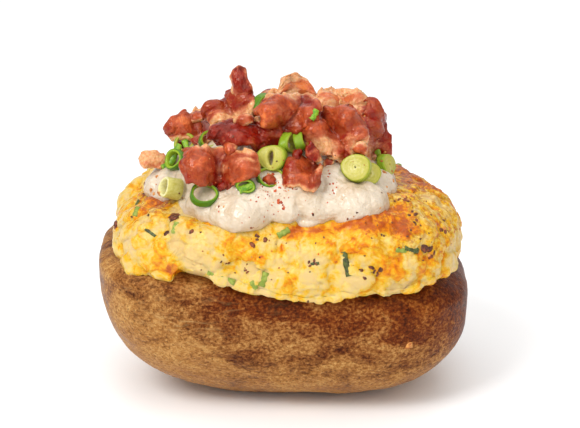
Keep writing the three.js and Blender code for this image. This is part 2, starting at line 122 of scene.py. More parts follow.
@dataclass(frozen=True)
class Value:
    """A number or a colour that a shader works out, with the sums that can be done on it."""

    tree: bpy.types.NodeTree
    socket: bpy.types.NodeSocket

    def reckoned(self, operation: str, other: Value | float = 0.0) -> Value:
        """Returns this value joined with another by one sum, such as ADD."""
        node = add_node(self.tree, "Math", {"operation": operation, 0: self, 1: other})
        return Value(self.tree, node.outputs["Value"])

    def __add__(self, other: Value | float) -> Value:
        """Returns the sum of the two."""
        return self.reckoned("ADD", other)

    def __sub__(self, other: Value | float) -> Value:
        """Returns this value less the other."""
        return self.reckoned("SUBTRACT", other)

    def __mul__(self, other: Value | float) -> Value:
        """Returns the product of the two."""
        return self.reckoned("MULTIPLY", other)

    def __abs__(self) -> Value:
        """Returns the value without its sign."""
        return self.reckoned("ABSOLUTE")

    def swayed(self, pattern: Value, weight: float) -> Value:
        """Returns this value moved up and down by a pattern that runs from 0 to 1."""
        return self + (pattern - 0.5) * weight

    def spread(self, low: float, high: float, to_low: float = 0.0, to_high: float = 1.0) -> Value:
        """Maps this value smoothly from one range to another.

        Args:
            low: The value that turns into to_low.
            high: The value that turns into to_high.
            to_low: The least new value.
            to_high: The greatest new value.

        Returns:
            The new value.
        """
        ends = {"From Min": low, "From Max": high, "To Min": to_low, "To Max": to_high}
        node = add_node(self.tree, "MapRange", {"interpolation_type": "SMOOTHSTEP", "Value": self, **ends})
        return Value(self.tree, node.outputs["Result"])

    def ramp(self, stops: Stops) -> Value:
        """Returns the colour that a ramp has for this value."""
        return Value(self.tree, add_node(self.tree, "ValToRGB", {"Fac": self}, stops).outputs["Color"])


@dataclass(frozen=True)
class Surface:
    """A material's shader, with the patterns and the painted values that can feed it."""

    tree: bpy.types.NodeTree
    shader: bpy.types.Node

    def value(self, kind: str, settings: Settings, output: str | int) -> Value:
        """Adds a node and returns one of its outputs."""
        return Value(self.tree, add_node(self.tree, kind, settings).outputs[output])

    def noise(
        self, size_mm: float, detail: float = 3.0, stretch: Triple = (1, 1, 1), twist: float = 0.0
    ) -> Value:
        """Adds a noise pattern on the mesh's own coordinates.

        Args:
            size_mm: The size of its patches.
            detail: How many finer layers it has.
            stretch: How much it is stretched along each axis; under 1 is longer.
            twist: How far its patches are pulled about.

        Returns:
            The pattern, from 0 to 1.
        """
        coordinates = self.value("TexCoord", {}, "Object")
        placed = self.value("Mapping", {"Scale": stretch, "Vector": coordinates}, "Vector")
        settings = {"Scale": 1 / (size_mm * MM), "Detail": detail, "Roughness": 0.6, "Distortion": twist}
        return self.value("TexNoise", {**settings, "Vector": placed}, "Fac")

    def painted(self, name: str) -> Value:
        """Returns a value that the mesh carries at each of its points."""
        return self.value("Attribute", {"attribute_name": name}, "Fac")

    def mixed(self, share: Value, first: Value | str, second: Value | str) -> Value:
        """Mixes two colours, each a value or a hex colour."""
        return self.value("Mix", {"data_type": "RGBA", 0: share, 6: first, 7: second}, 2)

    def feed(self, name: str, value: Value) -> None:
        """Links a value to one of the shader's inputs."""
        self.tree.links.new(value.socket, self.shader.inputs[name])

    def relief(self, height: Value, depth_mm: float) -> None:
        """Gives the shader fine relief of a depth in millimetres."""
        settings = {"Strength": 1.0, "Distance": depth_mm * MM, "Height": height}
        self.feed("Normal", self.value("Bump", settings, "Normal"))


# ---- Finishes ----


@dataclass(frozen=True)
class Finish:
    """A surface, and the values set straight on its shader.

    light_within is how much light gets into it, depth_mm how far each colour of light goes, shine and glint
    the strength and colour of its reflections, and gloss_coat how much of a clear coat it has.
    """

    name: str
    roughness: float
    ior: float = 1.45
    light_within: float = 0.0
    depth_mm: Triple = (1.0, 0.5, 0.25)
    gloss_coat: float = 0.0
    coat_roughness: float = 0.12
    shine: float = 0.5
    glint: str = "#ffffff"

    def material(self) -> bpy.types.Material:
        """Makes the material the first time it is asked for, and gives the same one later.

        Returns:
            The material.
        """
        found = bpy.data.materials.get(self.name)
        if found:
            return found
        made = bpy.data.materials.new(self.name)
        made.use_nodes = True
        tree = made.node_tree
        tree.nodes.clear()
        settings: Settings = {"Roughness": self.roughness, "IOR": self.ior}
        settings |= {"Specular IOR Level": self.shine, "Specular Tint": self.glint}
        if self.light_within:
            depths = [depth * MM for depth in self.depth_mm]
            settings |= {"Subsurface Weight": self.light_within, "Subsurface Scale": 1.0}
            settings |= {"Subsurface Radius": depths}
        if self.gloss_coat:
            settings |= {"Coat Weight": self.gloss_coat, "Coat Roughness": self.coat_roughness}
        shader = add_node(tree, "BsdfPrincipled", settings)
        add_node(tree, "OutputMaterial", {"Surface": Value(tree, shader.outputs["BSDF"])})
        self.dress(Surface(tree, shader))
        return made

    def dress(self, surface: Surface) -> None:
        """Adds the colour, relief and roughness patterns. A plain finish has none."""


@dataclass(frozen=True)
class RussetSkin(Finish):
    """Russet potato skin, oiled and baked: tan and red-brown mottling, fine dark grain and a dull shine."""

    tan: Stops = ((0.34, "#7f4e20"), (0.5, "#a5713a"), (0.66, "#c79a5c"))
    brown: Stops = ((0.38, "#360d03"), (0.5, "#682a0a"), (0.62, "#985620"))
    freckle: str = "#33150a"
    scuffed: str = "#cfa66a"
    patch_mm: float = 9.0
    grain_mm: float = 0.9
    relief_mm: float = 0.4

    def dress(self, surface: Surface) -> None:
        """Adds the mottling, the fine grain, the freckles, the pale scuffs and the fine wrinkles.

        Args:
            surface: The surface that is being made.
        """
        patches = surface.noise(self.patch_mm, 5, (0.65, 1, 1), 0.8)
        grain = surface.noise(self.grain_mm, 4, (0.8, 1, 1), 0.3)
        shade = patches * 0.4 + grain * 0.6
        # The painted red-brown value also carries painted shadow under the rim, painted shade at the right
        # end and painted light at the left end.
        ruddy_and_shading = surface.painted("ruddy_and_shading").swayed(patches, -2.4).swayed(grain, -1.1)
        mottled = surface.mixed(ruddy_and_shading.spread(-0.1, 1.1), shade.ramp(self.tan), shade.ramp(self.brown))
        freckles = surface.noise(0.6, 2).spread(0.54, 0.68, 0, 0.6)
        freckled = surface.mixed(freckles, mottled, self.freckle)
        streaks = surface.noise(1.8, 3, (0.22, 1, 1), 0.6).spread(0.5, 0.8, 0, 0.7)
        surface.feed("Base Color", surface.mixed(streaks * surface.painted("scuff"), freckled, self.scuffed))
        surface.feed("Roughness", patches.spread(0.3, 0.7, 0.34, 0.55))
        surface.relief(grain * 0.5 + patches, self.relief_mm)


@dataclass(frozen=True)
class CheesyMash(Finish):
    """Potato mashed with cheese and browned in the oven: pale lumps, melted orange cheese, toasted crags."""

    cheese: Stops = (
        (0.0, "#d8ba7c"), (0.2, "#dec06e"), (0.45, "#e0ae20"), (0.7, "#dc8404"), (1.0, "#b44e0c"),
    )
    toasted: str = "#98481b"
    curd_mm: float = 4.0
    grain_mm: float = 1.3
    relief_mm: float = 0.45

    def dress(self, surface: Surface) -> None:
        """Adds the cheese, the toasted crags and the shine of the melted parts.

        Args:
            surface: The surface that is being made.
        """
        curds = surface.noise(self.curd_mm, 4, twist=0.8)
        grains = surface.noise(self.grain_mm, 4)
        # The painted cheese value also carries painted shade that makes the hollows between lumps oranger.
        share = surface.painted("cheese").swayed(curds, 1.7).swayed(grains, 0.55)
        toast = surface.painted("toast")
        crust = toast * grains.spread(0.4, 0.62)
        surface.feed("Base Color", surface.mixed(crust, share.ramp(self.cheese), self.toasted))
        surface.feed("Roughness", share.spread(0.1, 0.8, 0.36, 0.18))
        surface.relief(grains * toast.spread(0, 0.6, 0.3, 0.6) + curds, self.relief_mm)


@dataclass(frozen=True)
class SourCream(Finish):
    """Thick sour cream: warm white, soft edged, with light sunk into it and a wet sheen."""

    light: str = "#d8c8b2"
    warm: str = "#c8b091"
    relief_mm: float = 0.9

    def dress(self, surface: Surface) -> None:
        """Adds a faint warmth in patches and a fine curdled surface.

        Args:
            surface: The surface that is being made.
        """
        patches = surface.noise(7).spread(0.35, 0.7)
        surface.feed("Base Color", surface.mixed(patches, self.light, self.warm))
        surface.relief(surface.noise(2.4, 2), self.relief_mm)


@dataclass(frozen=True)
class CrispBacon(Finish):
    """Streaky bacon fried crisp: maroon to red-brown lean, and amber fat that light gets into."""

    lean: Stops = (
        (0.0, "#6c0d07"), (0.3, "#8c180a"), (0.55, "#963c1c"), (0.8, "#b84f26"), (1.0, "#db7a3e"),
    )
    fat: Stops = ((0.3, "#cb8452"), (0.5, "#dba06c"), (0.7, "#e9ba8e"))
    between: str = "#bb5e3c"
    crease_shade_colour: str = "#520b03"
    grain_mm: float = 2.4
    fine_mm: float = 0.9
    crease_mm: float = 1.8
    relief_mm: float = 0.35

    def dress(self, surface: Surface) -> None:
        """Adds the streaks of lean and fat, painted shade in the creases, fine grain and bubbled relief.

        Args:
            surface: The surface that is being made.
        """
        grain = surface.noise(self.grain_mm, 5, twist=0.7)
        fine = surface.noise(self.fine_mm, 3)
        # The painted tone is partly painted light on the raised parts and painted shade in the folds.
        lean = surface.painted("tone").swayed(grain, 1.2).ramp(self.lean)
        streak = surface.painted("fat").swayed(grain, 0.8)
        pink = surface.mixed(streak.spread(0.2, 0.65, 0, 0.85), lean, self.between)
        colour = surface.mixed(streak.spread(0.45, 1.0), pink, fine.ramp(self.fat))
        # Painted shade: the low folds are darkened towards a deep red.
        surface.feed("Base Color", surface.mixed(surface.painted("crease_shade"), colour, self.crease_shade_colour))
        surface.feed("Roughness", fine.spread(0.3, 0.7, 0.13, 0.26))
        crease = abs(surface.noise(self.crease_mm, 2, twist=0.5) - 0.5)
        surface.relief(crease * -1.6 + fine * 0.35, self.relief_mm)


@dataclass(frozen=True)
class SpringOnionFlesh(Finish):
    """Fresh spring onion: a waxy green outside, layers that pale towards the heart, and wet cut faces."""

    layers: Stops = (
        (0.0, "#e2dca2"), (0.2, "#bdb456"), (0.4, "#a6a636"), (0.65, "#8aa524"), (1.0, "#4a7610"),
    )
    relief_mm: float = 0.1

    def dress(self, surface: Surface) -> None:
        """Adds the layers' greens and the fine veins that run through them.

        Args:
            surface: The surface that is being made.
        """
        veins = surface.noise(0.8)
        surface.feed("Base Color", surface.painted("green").swayed(veins, 0.3).ramp(self.layers))
        surface.relief(veins, self.relief_mm)


@dataclass(frozen=True)
class SmallBit(Finish):
    """A crumb, flake or snippet: one colour, darkened in patches."""

    light: str = "#ffffff"
    dark: str = "#808080"

    def dress(self, surface: Surface) -> None:
        """Adds the patches."""
        patches = surface.noise(1.2).spread(0.4, 0.6)
        surface.feed("Base Color", surface.mixed(patches, self.light, self.dark))


@dataclass(frozen=True)
class PaleBoard(Finish):
    """A smooth white table top."""

    colour: str = "#ffffff"

    def dress(self, surface: Surface) -> None:
        """Sets its plain colour."""
        surface.shader.inputs["Base Color"].default_value = linear(self.colour)


SKIN = RussetSkin("baked_russet_skin", 0.45, shine=0.2, glint="#ffd9a8")
MASH = CheesyMash("browned_cheese_mash", 0.42, 1.46, light_within=0.3, depth_mm=(2.5, 1.3, 0.35),
                  gloss_coat=0.08, glint="#ffdfa4")
CREAM = SourCream("thick_sour_cream", 0.24, 1.42, light_within=0.25, depth_mm=(1.4, 1.1, 0.8),
                  gloss_coat=0.15, shine=0.8)
BACON = CrispBacon("crisp_bacon", 0.32, light_within=0.3, depth_mm=(2.2, 0.5, 0.2),
                   gloss_coat=0.25, shine=0.6, glint="#ffb08c")
ONION = SpringOnionFlesh("spring_onion_flesh", 0.34, 1.4, light_within=0.3, depth_mm=(1.2, 1.2, 0.4),
                         gloss_coat=0.1, shine=0.3)
PAPRIKA = SmallBit("paprika", 0.7, light="#cc5a2a", dark="#9c3413")
CHAR = SmallBit("charred_bits", 0.5, light="#864320", dark="#48220f")
TOAST = SmallBit("toasted_crumbs", 0.5, light_within=0.1, light="#dc9748", dark="#b0642a")
CHIVE = SmallBit("cooked_chive", 0.4, 1.42, light_within=0.1, light="#98a546", dark="#7b8c30")
FRESH_CHIVE = SmallBit("fresh_chive", 0.3, 1.42, light_within=0.2, light="#8fb52c", dark="#5c8f1a")
DARK_CHIVE = SmallBit("browned_chive", 0.4, 1.42, light_within=0.1, light="#56602a", dark="#2f3316")
BOARD = PaleBoard("white_board", 0.75)


# ---- Unevenness ----


def lattice(i: np.ndarray, j: np.ndarray, k: np.ndarray) -> np.ndarray:
    """Returns a fixed value from 0 to 1 for each corner of a lattice."""
    mixed = np.sin(i * 127.1 + j * 311.7 + k * 74.7) * 43758.5453
    return mixed - np.floor(mixed)


def unevenness(points: np.ndarray, size: float) -> np.ndarray:
    """Works out smooth unevenness.

    Args:
        points: Where, in millimetres.
        size: How far apart its bumps are.

    Returns:
        How high it stands at each point, from -1 to 1.
    """
    scaled = points / size
    cell = np.floor(scaled)
    along = scaled - cell
    u, v, w = (along * along * (3 - 2 * along)).T
    i, j, k = cell.T

    def edge(dj: int, dk: int) -> np.ndarray:
        """Returns the value along one of the cell's long edges."""
        first = lattice(i, j + dj, k + dk)
        return first + (lattice(i + 1, j + dj, k + dk) - first) * u

    def face(dk: int) -> np.ndarray:
        """Returns the value on the cell's lower (0) or upper (1) face."""
        first = edge(0, dk)
        return first + (edge(1, dk) - first) * v

    first = face(0)
    return 2 * (first + (face(1) - first) * w) - 1


TURN = np.array([[0.36, 0.48, -0.8], [-0.8, 0.6, 0.0], [0.48, 0.64, 0.6]])


def layered(points: np.ndarray, size: float, layers: int = 3, seed: float = 0.0) -> np.ndarray:
    """Adds up unevenness of several sizes, each half as large and turned against the last.

    Args:
        points: Where, in millimetres.
        size: The largest size.
        layers: How many sizes.
        seed: Moves the pattern.

    Returns:
        The sum, about -1 to 1.
    """
    total = np.zeros(len(points))
    weight, turned = 1.0, points + seed * 13.7
    for _ in range(layers):
        total += unevenness(turned, size) * weight
        turned = turned @ TURN.T + 5.3
        size, weight = size / 2, weight / 2
    return total / 1.5


@dataclass(frozen=True)
class Bumps:
    """Layered unevenness of one kind: how far apart and how high its bumps are, and how many layers it has.

    seed moves its pattern, and stretch says by how much each way is squeezed.
    """

    size: float
    height: float
    layers: int = 1
    seed: float = 0.0
    stretch: Triple = (1, 1, 1)

    def at(self, points: np.ndarray) -> np.ndarray:
        """Works out how high it stands at some points.

        Args:
            points: The points, which may be on a grid.

        Returns:
            The height at each point.
        """
        flat = points.reshape(-1, 3) * self.stretch
        total = layered(flat, self.size, self.layers, self.seed) * self.height
        return total.reshape(points.shape[:-1])


def warped(points: np.ndarray, size: float) -> np.ndarray:
    """Returns by how much an uneven warp of a size moves each point."""
    return np.stack([layered(points, size, 2, seed) for seed in (9, 19, 29)], axis=-1)


def lumps(points: np.ndarray, size: float, seed: float = 0.0) -> tuple[np.ndarray, np.ndarray]:
    """Rounded lumps, one for each cell of a lattice.

    Args:
        points: Where, in millimetres.
        size: How far apart the lumps are.
        seed: Moves the pattern.

    Returns:
        The height of the lump at each point, 0 to 1, and that lump's own random value.
    """
    scaled = points @ TURN.T / size + seed * 17.17
    base = np.floor(scaled)
    nearest = np.full(len(points), 9.0)
    own = np.zeros(len(points))
    for step in product((-1, 0, 1), repeat=3):
        cell = base + step
        middle = np.stack([lattice(*(cell + shift).T) for shift in (0.0, 31.7, 57.3)], axis=-1)
        away = np.linalg.norm(cell + middle - scaled, axis=1)
        closer = away < nearest
        nearest = np.where(closer, away, nearest)
        own = np.where(closer, lattice(*(cell + 91.1).T), own)
    return np.sqrt(np.clip(1 - (nearest / 0.9) ** 2, 0, 1)), own


def eased(value: np.ndarray, low: float, high: float) -> np.ndarray:
    """Returns 0 under `low`, 1 over `high` and a smooth step between them."""
    share = np.clip((value - low) / (high - low), 0, 1)
    return share * share * (3 - 2 * share)


def profile(corners: Sequence[tuple[float, float]], along: np.ndarray) -> np.ndarray:
    """Works out the height of a line that eases from corner to corner.

    Args:
        corners: Each corner's place along and its height.
        along: Where along the line.

    Returns:
        The height at each place.
    """
    places = np.array([c[0] for c in corners])
    heights = np.array([c[1] for c in corners])
    last = len(corners) - 2
    before = np.clip(np.searchsorted(places, along, side="right") - 1, 0, last)
    share = np.clip((along - places[before]) / (places[before + 1] - places[before]), 0, 1)
    share = share * share * (3 - 2 * share)
    return heights[before] + (heights[before + 1] - heights[before]) * share


# ---- Meshes ----


@dataclass
class Form:
    """A closed mesh in millimetres, with the values that its finish reads at each point."""

    points: np.ndarray
    faces: list[tuple[int, ...]]
    values: dict[str, np.ndarray] = field(default_factory=dict)


def join_all(forms: Sequence[Form]) -> Form:
    """Joins forms.

    Args:
        forms: The forms, all with the same values.

    Returns:
        One form of them all.
    """
    counts = np.cumsum([0] + [len(f.points) for f in forms])
    faces = [tuple(i + shift for i in f) for form, shift in zip(forms, counts) for f in form.faces]
    values = {name: np.concatenate([f.values[name] for f in forms]) for name in forms[0].values}
    return Form(np.concatenate([f.points for f in forms]), faces, values)


def make_piece(
    name: str, form: Form, finish: Finish, nodes: Sequence[str] = ()
) -> bpy.types.Object:
    """Makes an object of a form, dresses it and hangs it on the frame.

    Args:
        name: The object's name.
        form: The mesh.
        finish: Its finish.
        nodes: The frame's nodes that it stands for.

    Returns:
        The object.
    """
    mesh = bpy.data.meshes.new(name)
    mesh.from_pydata((form.points * MM).tolist(), [], form.faces)
    for key, value in form.values.items():
        mesh.attributes.new(key, "FLOAT", "POINT").data.foreach_set("value", value.astype(np.float32))
    mesh.shade_smooth()
    mesh.materials.append(finish.material())
    piece = bpy.data.objects.new(name, mesh)
    bpy.context.scene.collection.objects.link(piece)
    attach(piece, "root")
    if nodes:
        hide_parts(*nodes)
    LOG.info("%s: %d points, %d faces", name, len(form.points), len(form.faces))
    return piece


def wrapped(rows: np.ndarray) -> tuple[np.ndarray, list[tuple[int, ...]]]:
    """Closes a grid of points round its columns, with a point at each end.

    Args:
        rows: Points by row, from the bottom up, and column, in the order seen from above going round.

    Returns:
        The points, the two ends last, and the faces, all facing out.
    """
    count, columns = rows.shape[:2]
    points = np.concatenate([rows.reshape(-1, 3), rows[0].mean(0)[None], rows[-1].mean(0)[None]])
    low, high = len(points) - 2, len(points) - 1
    at = np.arange(count * columns).reshape(count, columns)
    after = np.roll(at, -1, axis=1)
    quads = np.stack([at[:-1], after[:-1], after[1:], at[1:]], axis=-1).reshape(-1, 4)
    faces = [tuple(f) for f in quads.tolist()]
    faces += [(low, b, a) for a, b in zip(at[0].tolist(), after[0].tolist())]
    faces += [(high, a, b) for a, b in zip(at[-1].tolist(), after[-1].tolist())]
    return points, faces


def grid_normals(rows: np.ndarray) -> np.ndarray:
    """Works out the way out at each point of a grid that closes round its columns.

    Args:
        rows: Points by row, from the bottom up, and column.

    Returns:
        A unit way for each point.
    """
    around = np.roll(rows, -1, axis=1) - np.roll(rows, 1, axis=1)
    upward = np.gradient(rows, axis=0)
    out = np.cross(around, upward)
    return out / np.maximum(np.linalg.norm(out, axis=2, keepdims=True), 1e-9)


def directions(columns: int, climbs: np.ndarray) -> np.ndarray:
    """Lays out unit directions in rows of the same climb and columns round +Z.

    Args:
        columns: How many columns.
        climbs: Each row's climb from level in radians, or each direction's own.

    Returns:
        The directions by row and column.
    """
    turns = np.linspace(0, 2 * np.pi, columns, endpoint=False)
    climb = climbs if climbs.ndim == 2 else climbs[:, None] * np.ones(columns)
    return np.stack([np.cos(climb) * np.cos(turns), np.cos(climb) * np.sin(turns), np.sin(climb)], axis=-1)


def sheet(upper: np.ndarray, lower: np.ndarray, marks: dict[str, np.ndarray]) -> Form:
    """Joins the two faces of a sheet, which share the points along its edge.

    Args:
        upper: The upper face's points on a grid.
        lower: The lower face's points on the same grid.
        marks: The values of its finish on that grid, the same on both faces.

    Returns:
        The closed sheet.
    """
    shape = upper.shape[:2]
    inside = np.zeros(shape, bool)
    inside[1:-1, 1:-1] = True
    at = np.arange(inside.size).reshape(shape)
    under = at.copy()
    under[inside] = inside.size + np.arange(inside.sum())
    top = np.stack([at[:-1, :-1], at[1:, :-1], at[1:, 1:], at[:-1, 1:]], axis=-1)
    bottom = np.stack([under[:-1, :-1], under[:-1, 1:], under[1:, 1:], under[1:, :-1]], axis=-1)
    faces = [tuple(f) for f in np.concatenate([top.reshape(-1, 4), bottom.reshape(-1, 4)]).tolist()]
    values = {name: np.concatenate([mark.reshape(-1), mark[inside]]) for name, mark in marks.items()}
    return Form(np.concatenate([upper.reshape(-1, 3), lower[inside]]), faces, values)


@dataclass(frozen=True)
class RoundedBox:
    """A rounded box, given by its half sizes. plan and side say how square it is; 2 is an ellipse."""

    long: float
    deep: float
    up: float
    down: float
    plan: float
    side: float

    def at(self, way: np.ndarray) -> tuple[np.ndarray, np.ndarray, np.ndarray]:
        """Finds the box's points in some directions.

        Args:
            way: Unit directions, any shape with three at the end.

        Returns:
            The points, how far each is towards the outline (1) and how far up (1) or down (-1).
        """
        flat = np.abs(way[..., 0]) ** self.plan + np.abs(way[..., 1]) ** self.plan
        reach = (flat ** (self.side / self.plan) + np.abs(way[..., 2]) ** self.side) ** (-1 / self.side)
        unit = way * reach[..., None]
        tall = np.where(unit[..., 2] > 0, self.up, self.down)
        point = np.stack([unit[..., 0] * self.long, unit[..., 1] * self.deep, unit[..., 2] * tall], axis=-1)
        return point, np.hypot(unit[..., 0], unit[..., 1]), unit[..., 2]


# ---- Sub-assemblies ----


@dataclass(frozen=True)
class Lip:
    """The widest line of the heap, from its left end to its right: (along, height) in front and behind."""

    front: tuple[tuple[float, float], ...] = (
        (-62, 53.5), (-54, 52.5), (-51, 50.2), (-48, 49.2), (-36, 49), (-33, 52.6), (-27, 52.2),
        (-19, 49.6), (-10, 47.2), (-1, 45.2), (6, 44.4), (14, 44.6), (19, 46.2), (36, 46), (44, 47.4),
        (50, 47.6), (60, 46.6),
    )
    behind: tuple[tuple[float, float], ...] = (
        (-62, 53.5), (-50, 51), (-30, 50), (-12, 48), (6, 46.5), (20, 48.5), (36, 46), (50, 45.6), (60, 46),
    )
    depth: float = 38.0

    def height(self, x: np.ndarray, y: np.ndarray) -> np.ndarray:
        """Works out the line's height.

        Args:
            x: Places along the potato.
            y: Their depths, from front to back.

        Returns:
            The height at each place.
        """
        back = eased(y, -self.depth * 0.6, self.depth * 0.6)
        front = profile(self.front, x)
        return front + (profile(self.behind, x) - front) * back


@dataclass
class PotatoSkin:
    """The scooped, baked skin: a shell with a rounded rim, flat where it rests.

    swells are its broad bumps, each given by how far apart and how high they are. The rows of a shell are
    given as those under level_climb, which are level all round, and those from there up to the rim.
    """

    box: RoundedBox = RoundedBox(59.4, 38, 12, 40.3, 3.2, 2.35)
    level: float = 39.2
    droop: float = 0.093
    wall: float = 6.0
    rim_drop: float = 3.0
    rim_height: float = 0.7
    gap: float = 0.3
    heap_middle: float = 0.9
    swells: tuple[tuple[float, float], ...] = ((50, 1.1), (15, 0.5))
    wrinkles: Bumps = Bumps(9, 0.4, 3, 2)
    fine_wrinkles: Bumps = Bumps(2.6, 0.1, 2, 5, (0.5, 1, 1))
    ruddy_shading_edge: Bumps = Bumps(25, 9, 2, 8)
    right_edge: Bumps = Bumps(18, 12, 2, 3)
    columns: int = 460
    level_climb: float = -0.15
    outside_rows: tuple[int, int] = (92, 32)
    inside_rows: tuple[int, int] = (24, 10)
    inside_every: int = 8
    lip: Lip = field(default_factory=Lip)

    def outside(self, way: np.ndarray) -> np.ndarray:
        """Finds the outside's points, before it is flattened where it rests.

        Args:
            way: Unit directions by row and column.

        Returns:
            The point in each direction.
        """
        point, _, rise = self.box.at(way)
        flat = point.reshape(-1, 3)
        swell = sum(unevenness(flat, apart) * height for apart, height in self.swells) / self.box.deep
        point = point * (1 + swell.reshape(rise.shape))[..., None]
        point[..., 2] += self.level - self.droop * point[..., 0] * (1 - rise**2)
        return point

    def rim_climbs(self) -> np.ndarray:
        """Finds how far up each column the rim is, by halving, and smooths it along the rim.

        Returns:
            The climb of each column, in radians.
        """
        low = np.full(self.columns, -1.2)
        high = np.full(self.columns, 1.3)
        for _ in range(24):
            middle = (low + high) / 2
            point = self.outside(directions(self.columns, middle[None]))[0]
            lip = self.lip.height(point[:, 0] - self.heap_middle, point[:, 1])
            over = point[:, 2] > lip - self.rim_drop
            high = np.where(over, middle, high)
            low = np.where(over, low, middle)
        for _ in range(60):
            low = (np.roll(low, 1) + low * 2 + np.roll(low, -1)) / 4
        return low

    def shell(self, lower: int, upper: int) -> np.ndarray:
        """Lays out the outside from the bottom to the rim.

        Args:
            lower: How many rows are level all round.
            upper: How many are above them, up to the rim.

        Returns:
            The points by row and column.
        """
        rim = self.rim_climbs()[None]
        low = np.linspace(-1.5, self.level_climb, lower, endpoint=False)[:, None]
        high = self.level_climb + (rim - self.level_climb) * np.linspace(0, 1, upper)[:, None]
        return self.outside(directions(self.columns, np.concatenate([low * np.ones_like(rim), high])))

    def ledge(self, edge: np.ndarray, out: np.ndarray) -> np.ndarray:
        """Returns the rows that round the rim over from the outside's last row to the inside.

        Args:
            edge: The outside's last row.
            out: The way out at each of its points.

        Returns:
            The rows, from the outside in.
        """
        inward = -out * (1, 1, 0)
        inward /= np.linalg.norm(inward, axis=1, keepdims=True)
        rows = []
        for turn in np.linspace(0.4, np.pi, 7):
            row = edge + inward * (self.wall / 2) * (1 - np.cos(turn))
            row[:, 2] += np.sin(turn) * self.rim_height
            rows.append(row)
        return np.array(rows)

    def marks(self, points: np.ndarray) -> dict[str, np.ndarray]:
        """Works out how red-brown and how scuffed the skin is.

        It is reddest under the rim, partly its own colour and partly painted shadow of the overhanging
        filling, and at the right end, partly painted shade; it is tan low down and at the left end, there
        partly painted light, where a band of scuffs runs across it.

        Args:
            points: The points.

        Returns:
            Both values by name.
        """
        x, _, z = points.T
        # Painted shade: the band under the rim is darkened as the filling's overhang would shade it, on top
        # of the skin's own colour; the right end is partly its own darker colour and partly painted shade,
        # and the left end's tan is partly painted light.
        under_rim = eased(z + self.ruddy_shading_edge.at(points), 16, 44)
        right = eased(x + self.right_edge.at(points), 16, 52) * eased(z, 4, 28)
        ruddy_and_shading = 0.4 + under_rim * 0.65
        ruddy_and_shading += right * 0.4 - eased(-x, 10, 46) * 0.8
        ruddy_and_shading += 0.1 * eased(z, 16, 28) - 0.45 * eased(-z, -24, -8)
        band = np.exp(-(((x + 33) / 10) ** 2) - ((z - 34) / 2.4) ** 2)
        return {"ruddy_and_shading": ruddy_and_shading, "scuff": band * 1.6 + 0.3 * eased(-x, -12, 20)}

    def form(self) -> Form:
        """Makes the shell, with the values of its red-brown patches, partly painted shade and light, and its
        scuffs.

        Returns:
            The shell.
        """
        outer = self.shell(*self.outside_rows)
        out = grid_normals(outer)
        wrinkles = self.wrinkles.at(outer) + self.fine_wrinkles.at(outer)
        ledge = self.ledge(outer[-1], out[-1])
        inner = (outer - out * self.wall)[:: -self.inside_every]
        outer = outer + out * wrinkles[..., None]
        rows = np.concatenate([outer, ledge, inner[1:]])
        rows[..., 2] = np.maximum(rows[..., 2], 0)
        points, faces = wrapped(rows)
        return Form(points, faces, self.marks(points))

    def inside(self) -> Form:
        """Makes the body of filling down in the scoop, a hair inside the shell.

        Returns:
            The body.
        """
        outer = self.shell(*self.inside_rows)
        points, faces = wrapped(outer - grid_normals(outer) * (self.wall + self.gap))
        return Form(points, faces)

    def build(self) -> bpy.types.Object:
        """Makes the skin's object."""
        return make_piece("baked_skin", self.form(), SKIN, ["potato_skin"])


